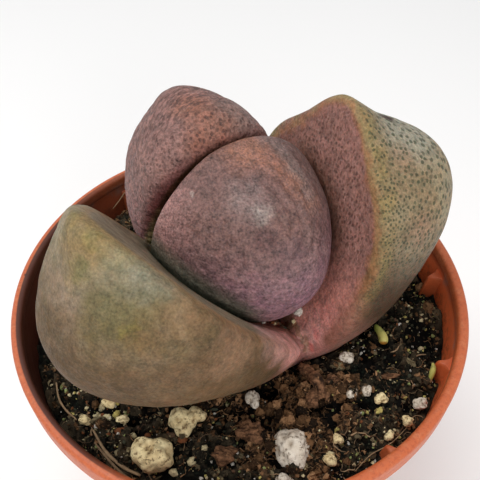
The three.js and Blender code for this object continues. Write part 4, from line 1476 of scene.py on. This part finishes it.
def soil_piece():
    """The fill as one closed lump; returns its top points and faces for what lies on it."""
    points, stand = soil_surface()
    foot = inner_wall_radius(FLOOR) - GAP
    turns = all_round(SOIL_SECTORS)
    level = np.full(SOIL_SECTORS, FLOOR + GAP)
    lower = np.stack([foot * np.cos(turns), foot * np.sin(turns), level], axis=1)
    # The lowest ring comes first, so that all the rings run from the outside inwards.
    everything = np.concatenate([lower, points, [[0, 0, points[-1, 2]]], [[0, 0, FLOOR + GAP]]])
    centre = len(everything) - 2
    under = len(everything) - 1
    faces = turned_over(ring_faces(SOIL_RINGS + 1, SOIL_SECTORS) + fan(under, 0, SOIL_SECTORS))
    faces += fan(centre, SOIL_RINGS * SOIL_SECTORS, SOIL_SECTORS)
    # Painted shade and light: the soil's colour follows how far each place stands out.
    shade = np.clip(0.3 + 0.7 * stand, 0, 1)
    brown = brown_zone(points[:, 0], points[:, 1])
    mesh_piece("soil_fill", everything, faces, MATERIALS["soil"], {
        "shade": np.concatenate([np.zeros(SOIL_SECTORS), shade, [0.3, 0]]),
        "brown": np.concatenate([np.zeros(SOIL_SECTORS), brown, [0, 0]]),
    }, replaces=["soil"])
    return points, turned_over(ring_faces(SOIL_RINGS, SOIL_SECTORS))


# Crumbs, grit and fibres that lie on the soil, made with Geometry Nodes

SCATTER_NUMBERS = [
    "Pieces per square mm", "Smallest", "Largest", "Rarity of large ones", "Height share", "Lift",
    "Ruffle", "Ruffle size",
]
SCATTER_INPUTS = [
    ("Surface", "NodeSocketGeometry"), ("Room", "NodeSocketString"),
    *[(label, "NodeSocketFloat") for label in SCATTER_NUMBERS],
    ("Seed", "NodeSocketInt"), ("Material", "NodeSocketMaterial"),
]
# The name, shape, slot, room, material and seed of what lies strewn, then its SCATTER_NUMBERS
STREWN = [
    ("soil_clods_dark", "Crumbs", "soil", "dark room", "dark crumb", 3,
     (0.42, 0.3, 0.95, 2.5, 0.75, 0.0, 1.7, 0.8)),
    ("soil_clods_brown", "Crumbs", "soil", "brown room", "brown crumb", 8,
     (0.8, 0.3, 1.05, 2.5, 0.85, 0.1, 1.5, 0.55)),
    ("soil_crumbs_dark", "Specks", "soil", "dark room", "dark crumb", 5,
     (2.5, 0.12, 0.42, 2.0, 0.8, 0.15, 0.9, 0.3)),
    ("soil_crumbs_brown", "Specks", "soil", "brown room", "brown crumb", 9,
     (5.0, 0.14, 0.45, 2.0, 0.8, 0.25, 0.9, 0.3)),
    ("soil_grit", "Specks", "pumice", "grit room", "grit", 14,
     (1.0, 0.08, 0.36, 3.0, 0.8, 0.3, 0.5, 0.35)),
    ("soil_fibres", "Fibres", "bark", "dark room", "fibre", 21,
     (0.27, 0.4, 1.5, 2.2, 1.0, 0.25, 1.0, 0.8)),
    ("soil_fibres_brown", "Fibres", "bark", "brown room", "brown fibre", 27,
     (2.3, 0.35, 1.1, 1.6, 1.0, 0.3, 1.2, 0.6)),
]


def crumb_shape(t):
    return t.node("GeometryNodeMeshIcoSphere", {"Radius": 1.0, "Subdivisions": 2}).outputs["Mesh"]


def speck_shape(t):
    return t.node("GeometryNodeMeshIcoSphere", {"Radius": 1.0, "Subdivisions": 1}).outputs["Mesh"]


def fibre_shape(t):
    """A thin bent length of fibre, about 2 long, with 5 sides and closed ends."""
    line = t.node("GeometryNodeCurveQuadraticBezier", {
        "Resolution": 6, "Start": (-1, -0.3, 0), "Middle": (0.15, 0.75, 0.2), "End": (1, -0.35, 0),
    })
    ring = t.node("GeometryNodeCurvePrimitiveCircle", {"Resolution": 5, "Radius": 0.055})
    return t.node("GeometryNodeCurveToMesh", {
        "Curve": line.outputs["Curve"], "Profile Curve": ring.outputs["Curve"], "Fill Caps": True,
    }).outputs["Mesh"]


def scatter_tree(name, shape, tilt):
    """A node tree that strews one small shape over a surface and gives each piece a shade."""
    group = bpy.data.node_groups.new(name, "GeometryNodeTree")
    for label, kind in SCATTER_INPUTS:
        group.interface.new_socket(label, in_out="INPUT", socket_type=kind)
    group.interface.new_socket("Pieces", in_out="OUTPUT", socket_type="NodeSocketGeometry")
    t = Tree(group)
    given = t.node("NodeGroupInput").outputs
    room = t.node("GeometryNodeInputNamedAttribute", {"Name": given["Room"]}, data_type="FLOAT")
    per_square_metre = t.product(given["Pieces per square mm"], room.outputs["Attribute"], 1 / MM ** 2)
    points = t.node("GeometryNodeDistributePointsOnFaces", {
        "Mesh": given["Surface"], "Density": per_square_metre, "Seed": given["Seed"],
    }).outputs["Points"]
    lift = t.vector(0, 0, t.product(given["Lift"], MM))
    points = t.node("GeometryNodeSetPosition", {"Geometry": points, "Offset": lift}).outputs["Geometry"]
    chance = t.maths("POWER", t.random(0.0, 1.0, given["Seed"], 1), given["Rarity of large ones"])
    size = t.between(chance, 0, 1, given["Smallest"], given["Largest"], "LINEAR")
    uneven = t.random((0.6, 0.6, 0.6), (1.0, 1.0, 1.0), given["Seed"], 2)
    flatten = t.vector(1, 1, given["Height share"])
    scale = t.scaled(t.vector_maths("MULTIPLY", uneven, flatten), t.product(size, MM))
    turn = t.random((-tilt, -tilt, 0.0), (tilt, tilt, 2 * math.pi), given["Seed"], 3)
    placed = t.node("GeometryNodeInstanceOnPoints", {
        "Points": points, "Instance": shape(t), "Rotation": turn, "Scale": scale,
    }).outputs["Instances"]
    shaded = t.node("GeometryNodeStoreNamedAttribute", {
        "Geometry": placed, "Name": "shade", "Value": t.random(0.0, 1.0, given["Seed"], 4),
    }, data_type="FLOAT", domain="INSTANCE").outputs["Geometry"]
    real = t.node("GeometryNodeRealizeInstances", {"Geometry": shaded}).outputs["Geometry"]
    place = t.node("GeometryNodeInputPosition").outputs["Position"]
    ruffle_scale = t.maths("DIVIDE", 1 / MM, given["Ruffle size"])
    ruffle = t.nudge(place, ruffle_scale, 1, t.product(given["Ruffle"], MM))
    real = t.node("GeometryNodeSetPosition", {"Geometry": real, "Offset": ruffle}).outputs["Geometry"]
    coated = t.node("GeometryNodeSetMaterial", {"Geometry": real, "Material": given["Material"]})
    results = t.node("NodeGroupOutput").inputs
    t.feed(results["Pieces"], coated.outputs["Geometry"])
    return group


def strew(name, surface, tree, slot, room, material, seed, numbers):
    """Runs a scatter tree over the surface and keeps the result as one plain piece."""
    source = in_scene(name, surface)
    scatter = source.modifiers.new("Scatter", "NODES")
    scatter.node_group = tree
    sockets = {item.name: item.identifier for item in tree.interface.items_tree if item.in_out == "INPUT"}
    values = dict(zip(SCATTER_NUMBERS, numbers), Room=room, Seed=seed, Material=MATERIALS[material])
    for label, value in values.items():
        scatter[sockets[label]] = value
    mesh = finished_mesh(source)
    source.modifiers.clear()
    source.data = mesh
    settle(source)


def strewn_surface(points, faces):
    """The top of the soil, with how much room there is for crumbs of each kind."""
    mesh = new_mesh("strewn surface", points, faces)
    x, y = points[:, 0], points[:, 1]
    open_soil = (outside_old_pair(points) > 0.5) & (np.hypot(x, y) < SOIL_RIM - 0.7)
    brown = brown_zone(x, y)
    patchy = smooth_step(swells(on_level(x, y), 5, 17), -0.5, 0.5)
    out_of_holes = 0.15 + 0.85 * smooth_step(crumbly_height(x, y)[1], -0.9, 0.1)
    give_values(mesh, "dark room", open_soil * (1 - 0.7 * brown) * out_of_holes)
    give_values(mesh, "brown room", open_soil * (0.12 + brown) * out_of_holes)
    give_values(mesh, "grit room", open_soil * (1 - 0.75 * brown) * (0.3 + patchy))
    return mesh


def loose_mix(points, faces):
    """Strews everything loose on the soil. Each shape has the angle by which it may be tilted."""
    surface = strewn_surface(points, faces)
    shapes = {
        "Crumbs": (crumb_shape, math.pi),
        "Specks": (speck_shape, math.pi),
        "Fibres": (fibre_shape, 0.5),
    }
    trees = {name: scatter_tree(name, shape, tilt) for name, (shape, tilt) in shapes.items()}
    for name, shape, *settings in STREWN:
        strew(name, surface, trees[shape], *settings)
    bpy.data.meshes.remove(surface)


def smooth_path(points, steps=6):
    """A smooth curve through points, by cubic pieces."""
    points = np.asarray(points, dtype=float)
    ends = np.concatenate([[2 * points[0] - points[1]], points, [2 * points[-1] - points[-2]]])
    curve = []
    for before, start, end, after in zip(ends, ends[1:], ends[2:], ends[3:]):
        for t in np.arange(steps) / steps:
            curve.append(0.5 * (
                2 * start + (end - before) * t + (2 * before - 5 * start + 4 * end - after) * t ** 2
                + (3 * start - before - 3 * end + after) * t ** 3
            ))
    return np.array(curve + [points[-1]])


def tube(path, radii, sides=8):
    """A closed tube along a path with a radius at each point."""
    along = np.gradient(path, axis=0)
    along /= np.linalg.norm(along, axis=1)[:, None]
    across = np.cross(along, [0, 0.3, 1])
    across /= np.linalg.norm(across, axis=1)[:, None]
    over = np.cross(across, along)
    turns = all_round(sides)
    rings = np.cos(turns)[None, :, None] * across[:, None] + np.sin(turns)[None, :, None] * over[:, None]
    points = path[:, None] + rings * np.asarray(radii)[:, None, None]
    points = np.concatenate([points.reshape(-1, 3), [path[0]], [path[-1]]])
    last = len(path) * sides
    faces = ring_faces(len(path), sides) + fan(last, 0, sides)
    return points, faces + turned_over(fan(last + 1, last - sides, sides))


def tapered(share, least, power):
    """The part of its thickness that a tube has at each share of its length."""
    return least + (1 - least) * np.sin(math.pi * np.clip(share, 0.02, 0.98)) ** power


# Roots that show on the soil: places on it, thickness, and shade from dark brown to pale
ROOTS = [
    ([(-25.4, -12.6), (-24.6, -15.0), (-23.3, -16.8), (-21.6, -18.2)], 0.16, 0.8),
    ([(-19.4, -19.4), (-17.4, -22.4), (-15.8, -23.9), (-14.2, -25.0), (-12.4, -25.8)], 0.26, 0.7),
    ([(-18.8, -21.4), (-16.8, -23.6), (-14.9, -25.4), (-13.0, -26.6)], 0.2, 0.45),
    ([(14.4, -25.2), (16.6, -23.1), (18.6, -22.0), (20.1, -21.0), (22.2, -19.0)], 0.06, 1.0),
    ([(9.6, -12.0), (8.4, -13.2), (7.4, -13.6)], 0.3, 0.3),
    ([(24.0, -9.4), (25.4, -8.2), (26.6, -8.0)], 0.12, 0.8),
    ([(12.2, -11.0), (13.2, -12.0), (13.4, -13.4), (12.8, -14.6)], 0.16, 0.55),
    ([(4.6, -17.0), (5.2, -18.4), (4.8, -19.6)], 0.2, 0.4),
    ([(16.4, -13.0), (15.6, -14.0), (14.6, -14.4)], 0.14, 0.5),
]
# The ridge of bark that runs forward from the crease: places on the soil and thickness
BARK_RIDGE = [
    ([(8.2, -10.6), (9.2, -11.4), (9.9, -12.8), (10.6, -14.2), (11.0, -15.8)], 0.95),
    ([(10.7, -13.8), (11.9, -14.6), (11.6, -15.8)], 0.45),
]
# The root that has climbed the wall behind the left leaf: angles in degrees and heights
WALL_ROOT = [(136, 51.0), (133, 51.8), (129.5, 53.0), (126, 53.6), (122, 53.3)]


# How many points on each side the height of a lying path is evened out over
EVENED_OVER = 3


def lying_path(places, thickness, steps=6):
    """A path that lies on the soil. It spans the holes between clods, so its height is evened out."""
    path = smooth_path([(x, y, 0) for x, y in places], steps)
    height = np.maximum(crumbly_height(path[:, 0], path[:, 1])[0], SOIL_LEVEL - 0.6)
    window = 2 * EVENED_OVER + 1
    even = np.convolve(np.pad(height, EVENED_OVER, mode="edge"), np.ones(window) / window, mode="valid")
    path[:, 2] = even + thickness * 0.6
    return path


def bark_ridge():
    """The ridge of composted bark: rough tubes that taper to their ends."""
    points, faces = [], []
    for places, thickness in BARK_RIDGE:
        path = lying_path(places, thickness * 0.9, 9)
        share = np.linspace(0, 1, len(path))
        path[:, 2] += 0.9 * thickness
        radii = thickness * tapered(share, 0.3, 0.4)
        tube_points, tube_faces = tube(path, radii * (1 + 0.25 * swells(path, 1.1, 5)), 36)
        rough = [0.22 * layered(tube_points, 1.0, 3, axis, 0.45) for axis in (1, 2, 3)]
        add_shape(points, faces, tube_points + np.stack(rough, axis=1), tube_faces)
    shade = np.clip(-1.6 * layered(np.array(points), 0.7, 2, 9) - 0.1, 0, 1)
    mesh_piece("soil_bark_ridge", points, faces, MATERIALS["bark"], {"shade": shade})


SLIVER_SIDES = 12


def green_sliver():
    """The small yellow-green blade that stands by the wall at the right."""
    path = smooth_path([(26.2, -12.4, 50.4), (26.5, -11.8, 51.2), (26.7, -11.2, 51.9), (26.6, -10.7, 52.5)])
    share = np.linspace(0, 1, len(path))
    radii = 0.42 * np.sqrt(np.sin(math.pi * np.clip(share, 0.03, 0.97)))
    points, faces = tube(path, radii, SLIVER_SIDES)
    shade = 0.3 + 0.4 * np.concatenate([np.repeat(share, SLIVER_SIDES), [0, 1]])
    mesh_piece("soil_green_sliver", points, faces, MATERIALS["pellet"], {"shade": shade})


def roots():
    """All the roots as one piece, each a thin tube with a shade of its own."""
    points, faces, shades = [], [], []
    paths = [(lying_path(places, thickness), thickness, shade) for places, thickness, shade in ROOTS]
    wall = []
    for angle, z in WALL_ROOT:
        reach = inner_wall_radius(z) - 0.18
        wall.append((reach * cosine(angle), reach * sine(angle), z))
    paths.append((smooth_path(wall), 0.09, 0.9))
    for path, thickness, shade in paths:
        share = np.linspace(0, 1, len(path))
        radii = thickness * tapered(share, 0.35, 0.5) * (1 + 0.3 * swells(path, 0.9, 5))
        tube_points, tube_faces = tube(path, radii)
        add_shape(points, faces, tube_points, tube_faces)
        shades.extend([shade] * len(tube_points))
    mesh_piece("soil_roots", points, faces, MATERIALS["fibre"], {"shade": np.array(shades)})


# Colours of the small bits, as shades of the grit material
PALE, YELLOW, GREEN, DULL, RUST, BROWN, WHITE = 0.1, 0.3, 0.45, 0.6, 0.72, 0.85, 1.0
# Bits that the photograph shows one by one on the soil: place, size and shade
SOIL_BITS = [
    (-17.8, -14.9, 0.75, PALE), (-18.6, -16.1, 0.6, PALE), (-16.5, -15.9, 0.55, YELLOW),
    (-16.3, -17.6, 0.7, YELLOW), (-17.6, -18.2, 0.5, PALE), (-19.2, -17.4, 0.5, PALE),
    (-15.1, -17.4, 0.4, GREEN), (-18.7, -19.6, 0.35, WHITE), (-24.6, -12.9, 0.42, GREEN),
    (-23.6, -14.3, 0.3, GREEN), (-22.6, -16.1, 0.3, DULL), (-23.0, -17.9, 0.3, PALE),
    (-13.8, -20.9, 0.4, PALE), (-15.6, -20.0, 0.55, RUST), (-11.9, -20.6, 0.5, RUST),
    (-7.4, -21.4, 0.5, RUST), (-5.6, -23.6, 0.45, RUST), (-8.9, -20.9, 0.55, BROWN),
    (-4.5, -22.4, 0.5, PALE), (-6.1, -23.9, 0.5, PALE), (-8.2, -25.2, 0.6, PALE),
    (-1.6, -15.6, 0.35, GREEN), (-3.6, -16.6, 0.4, DULL), (-2.6, -18.9, 0.42, DULL),
    (-1.9, -21.2, 0.35, DULL), (26.8, -10.9, 0.5, GREEN), (26.9, -12.6, 0.4, GREEN),
    (12.8, -21.4, 0.55, YELLOW), (11.4, -23.3, 0.5, PALE), (12.8, -19.7, 0.4, YELLOW),
    (19.7, -11.9, 0.42, RUST), (21.4, -14.4, 0.35, RUST), (18.6, -10.4, 0.3, BROWN),
    (10.6, -13.2, 0.4, RUST), (17.2, -8.2, 0.3, RUST), (26.9, -2.2, 0.32, PALE),
    (26.4, -6.4, 0.36, PALE), (24.6, -4.2, 0.22, YELLOW), (26.2, 1.6, 0.3, DULL),
    (23.2, -3.6, 0.2, WHITE), (24.0, -7.6, 0.24, YELLOW), (18.4, -17.4, 0.5, YELLOW),
    (16.2, -17.6, 0.32, GREEN), (15.6, -19.6, 0.22, GREEN), (20.8, -17.2, 0.3, DULL),
    (14.0, -18.0, 0.3, RUST), (-18.6, 21.2, 0.62, YELLOW), (-17.8, 22.0, 0.45, RUST),
    (-18.0, 19.8, 0.5, GREEN), (-19.8, 20.0, 0.4, DULL),
]
# Bits that have fallen between the leaves: place with its height, size and shade
LEAF_BITS = [
    (8.1, -5.1, 57.2, 0.62, WHITE), (7.5, -5.5, 56.8, 0.36, PALE), (3.0, -10.5, 61.2, 0.26, WHITE),
    (4.6, -8.6, 59.0, 0.22, PALE),
]
# The line under the front leaf along which fine dark crumbs have gathered
CRUMB_LINE = [
    (-1.6, -12.4, 65.4), (0.6, -11.2, 63.2), (3.0, -10.1, 61.2), (5.4, -7.2, 57.2), (7.4, -5.6, 56.2),
]


# A bit starts a little above its place, comes down in small steps, and rests when so much of its
# size is left between its centre and what is under it.
DROP_START = 0.6
DROP_STEP = 0.08
DROP_STEPS = 90
REST_SHARE = 0.45


def drop_to_rest(place, size):
    """Lets a bit down from its place until it lies on a leaf or on the soil."""
    levels = place[2] + DROP_START - DROP_STEP * np.arange(DROP_STEPS)
    line = np.stack([np.full_like(levels, place[0]), np.full_like(levels, place[1]), levels], axis=1)
    gap = np.minimum(outside_old_pair(line), outside_new_pair(line))
    gap = np.minimum(gap, levels - crumbly_height(line[:, 0], line[:, 1])[0])
    reached = np.argmax(gap < REST_SHARE * size)
    return line[reached]


def small_bits():
    """The bits as one piece of knobbly lumps with a shade each."""
    random = np.random.default_rng(12)
    directions, ball_faces = unit_ball(3)
    bits = [((x, y, SOIL_LEVEL + 2.5), size, shade) for x, y, size, shade in SOIL_BITS]
    bits += [((x, y, z), size, shade) for x, y, z, size, shade in LEAF_BITS]
    crumb_line = smooth_path(CRUMB_LINE, 9)
    for place in crumb_line:
        place = place + random.uniform(-0.35, 0.35, 3)
        bits.append((place, random.uniform(0.16, 0.36), random.choice([DULL, BROWN, BROWN, RUST])))
    points, faces, shades = [], [], []
    for number, (place, size, shade) in enumerate(bits):
        stretch = random.uniform(0.7, 1.15, 3) * ((1.3, 0.8, 0.5) if shade in (RUST, BROWN, DULL) else 1.0)
        bumpy = 1 + 0.36 * layered(directions, 0.6, 2, 200 + number)
        lump = directions * bumpy[:, None] * stretch * size
        add_shape(points, faces, drop_to_rest(np.array(place), size) + lump, ball_faces)
        shades.extend([shade] * len(lump))
    mesh_piece("soil_bits", points, faces, MATERIALS["grit"], {"shade": np.array(shades)})


# Loose grains

# Grains whose outline stands out: where each lies, and its lobes (x, y, z, radius) in a box from -1 to 1
KNOWN_GRAINS = [
    ((-6.9, -19.0), [(-0.38, 0.05, 0, 0.6), (0.3, 0.32, 0, 0.42), (0.68, 0.18, 0.05, 0.28),
                     (-0.28, -0.48, 0, 0.48)]),
    ((6.4, -22.3), [(0, 0, 0, 0.86), (0.22, 0.2, 0, 0.72), (-0.24, 0.16, 0, 0.68), (0.16, -0.26, 0, 0.68),
                    (-0.3, -0.3, 0, 0.5)]),
    ((-11.4, -23.0), [(-0.27, 0.2, 0, 0.7), (0.3, 0.24, 0, 0.62), (0.28, -0.22, 0, 0.64),
                      (-0.1, -0.38, 0, 0.6), (-0.38, -0.1, 0, 0.58)]),
]


def unit_ball(level):
    """The points and faces of a round ball of triangles."""
    ball = bmesh.new()
    bmesh.ops.create_icosphere(ball, subdivisions=level, radius=1)
    points = np.array([v.co[:] for v in ball.verts])
    faces = [tuple(v.index for v in f.verts) for f in ball.faces]
    ball.free()
    return points, faces


def middle_and_half(box):
    """The middle and the half size in mm of a box given in metres."""
    low, high = (np.array(corner) / MM for corner in box)
    return (low + high) / 2, (high - low) / 2


def random_lobes(seed, count):
    random = np.random.default_rng(seed)
    lobes = []
    for _ in range(count):
        centre = random.normal(size=3)
        centre *= 0.42 / np.linalg.norm(centre)
        lobes.append((*centre, random.uniform(0.42, 0.6)))
    return lobes


def lobed_reach(directions, lobes):
    """How far a knobbly grain reaches in each direction: a few balls grown together."""
    reach = np.full(len(directions), 0.5)
    for *centre, size in lobes:
        along = directions @ np.array(centre)
        inside = along ** 2 - (np.dot(centre, centre) - size ** 2)
        ball = np.where(inside > 0, along + np.sqrt(np.maximum(inside, 0)), 0)
        reach = rounded_max([reach, ball], 0.035)
    return reach


def pitted(directions, seed, count, depth):
    """How much is missing in each direction where small pits open, and the same from 0 to 1."""
    random = np.random.default_rng(seed)
    missing = np.zeros(len(directions))
    for _ in range(count):
        towards = random.normal(size=3)
        towards[2] = abs(towards[2]) + 0.2
        towards /= np.linalg.norm(towards)
        width = random.uniform(0.004, 0.02)
        missing = np.maximum(missing, np.exp((directions @ towards - 1) / width) * random.uniform(0.4, 1))
    return missing * depth, missing


# For each kind of grain: lobes, roughness, number of pits and their depth
GRAIN_KINDS = {"perlite": (8, 0.13, 16, 0.14), "pumice": (6, 0.12, 9, 0.16), "bark": (6, 0.36, 6, 0.15)}


# Grains with a larger half size than this get finer meshes.
LARGE_GRAIN = 1.6
# How near a grain of the frame has to be to a known grain's place to be that grain
KNOWN_WITHIN = 1.2
# The rough grains reach a little past the boxes of their solids, because their corners are rounded.
GRAIN_SPREAD = np.array([1.12, 1.06, 1.04])


def grain_piece(name, kind, box, seed):
    """One grain in the space of its solid, grown and roughened in its own way."""
    centre, half = middle_and_half(box)
    directions, faces = unit_ball(5 if max(half) > LARGE_GRAIN else 4)
    lobe_count, rough, pit_count, pit_depth = GRAIN_KINDS[kind]
    lobes = random_lobes(seed, lobe_count)
    for place, known_lobes in KNOWN_GRAINS:
        if np.hypot(*(centre[:2] - place)) < KNOWN_WITHIN:
            lobes = known_lobes
    missing, pits = pitted(directions, seed, pit_count, pit_depth)
    reach = lobed_reach(directions, lobes) * (1 + rough * layered(directions, 0.55, 3, seed)) - missing
    shape = directions * reach[:, None]
    middle = (shape.max(axis=0) + shape.min(axis=0)) / 2
    shape = (shape - middle) / ((shape.max(axis=0) - shape.min(axis=0)) / 2)
    points = centre + shape * half * GRAIN_SPREAD
    # The grain is painted darker in its pits, as shade, and in random patches.
    hollows = np.clip(-1.1 * layered(directions, 0.3, 2, seed + 7), 0, 1)
    shade = np.clip(0.4 * hollows + 0.9 * pits, 0, 1)
    mesh_piece(name + "_rough", points, faces, MATERIALS[kind], {"shade": shade}, [name])


SPROUT_SIDES = 20


def sprout(name, box):
    """The bent yellow-green sprout, in the space of its solid."""
    centre, half = middle_and_half(box)
    path = smooth_path([
        (-0.6, 0.9, 0.1), (-0.35, 0.5, 0.25), (0.05, 0.1, 0.3), (0.35, -0.35, 0.2), (0.3, -0.85, -0.1),
    ], 8)
    share = np.linspace(0, 1, len(path))
    radii = 0.8 * half[0] * (0.5 + 0.7 * share) * np.sqrt(np.clip(1 - (2 * share - 1) ** 4, 0.02, 1))
    radii = radii * (1 + 0.16 * swells(centre + path * half, 0.9, 3))
    points, faces = tube(centre + path * half, radii, SPROUT_SIDES)
    shade = np.concatenate([np.repeat(share, SPROUT_SIDES), [0, 1]])
    mesh_piece(name + "_sprout", points, faces, MATERIALS["pellet"], {"shade": shade}, [name])


def grains():
    for number, name in enumerate(sorted(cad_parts)):
        kind = name.split("_")[0]
        if kind in GRAIN_KINDS:
            grain_piece(name, kind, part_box(name), 50 + number)
        elif kind == "pellet":
            sprout(name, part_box(name))


# Camera and light

FOCAL_LENGTH = 50
SENSOR = 36
CAMERA_PITCH_DOWN = 47.3
CAMERA_AT = (0, -60.6, POT_HEIGHT + 75.6)
NEAREST_SEEN = 0.01
FLOOR_REACH = 3000
SKY_STRENGTH = 0.66
LIT_POINT = (0, 0, 60)


def camera():
    data = bpy.data.cameras.new("Camera")
    data.lens = FOCAL_LENGTH
    data.sensor_width = SENSOR
    data.clip_start = NEAREST_SEEN
    holder = in_scene("Camera", data)
    holder.location = Vector(CAMERA_AT) * MM
    holder.rotation_euler = (math.radians(90 - CAMERA_PITCH_DOWN), 0, 0)
    bpy.context.scene.camera = holder


def soft_light(name, place, size, watts, colour):
    """A round lamp that shines on the plant."""
    data = bpy.data.lights.new(name, "AREA")
    data.shape = "DISK"
    data.size = size * MM
    data.energy = watts
    data.color = colour
    lamp = in_scene(name, data)
    lamp.location = Vector(place) * MM
    lamp.rotation_euler = (Vector(place) - Vector(LIT_POINT)).to_track_quat("Z", "Y").to_euler()


def floor():
    corners = [(-1, -1, 0), (1, -1, 0), (1, 1, 0), (-1, 1, 0)]
    mesh = new_mesh("Floor", np.array(corners) * FLOOR_REACH, [(0, 1, 2, 3)])
    mesh.materials.append(Material("Pale floor").finish(paint(250, 250, 250), 0.9, None, 0.1))
    in_scene("Floor", mesh)


def studio():
    scene = bpy.context.scene
    scene.view_settings.view_transform = "Standard"
    world = bpy.data.worlds.new("Studio")
    world.use_nodes = True
    sky = world.node_tree.nodes["Background"]
    sky.inputs["Color"].default_value = (1, 1, 1, 1)
    sky.inputs["Strength"].default_value = SKY_STRENGTH
    scene.world = world
    soft_light("Key", (-110, -20, 420), 260, 0.68, (1, 0.99, 0.97))
    soft_light("Fill", (-260, 60, 260), 200, 0.12, (0.97, 0.98, 1))
    soft_light("Front fill", (90, -300, 170), 220, 0.38, (1, 0.99, 0.98))


camera()
studio()
floor()
pot_piece()
top_points, top_faces = soil_piece()
loose_mix(top_points, top_faces)
roots()
bark_ridge()
green_sliver()
small_bits()
leaf_piece("old_leaf_right", OLD_RIGHT, "old_leaf", 0.2, old_right_skin(), 3)
leaf_piece("old_leaf_left", OLD_LEFT, "old_leaf", 0.22, old_left_skin(), 4)
leaf_piece("new_leaf_front", NEW_FRONT, "new_leaf", 0.16, new_front_skin(), 5, curved_wrinkles)
leaf_piece("new_leaf_back", NEW_BACK, "new_leaf", 0.16, new_back_skin(), 6, level_wrinkles)
grains()
for stem_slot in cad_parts["stem"].material_slots:
    stem_slot.material = stem_bark()
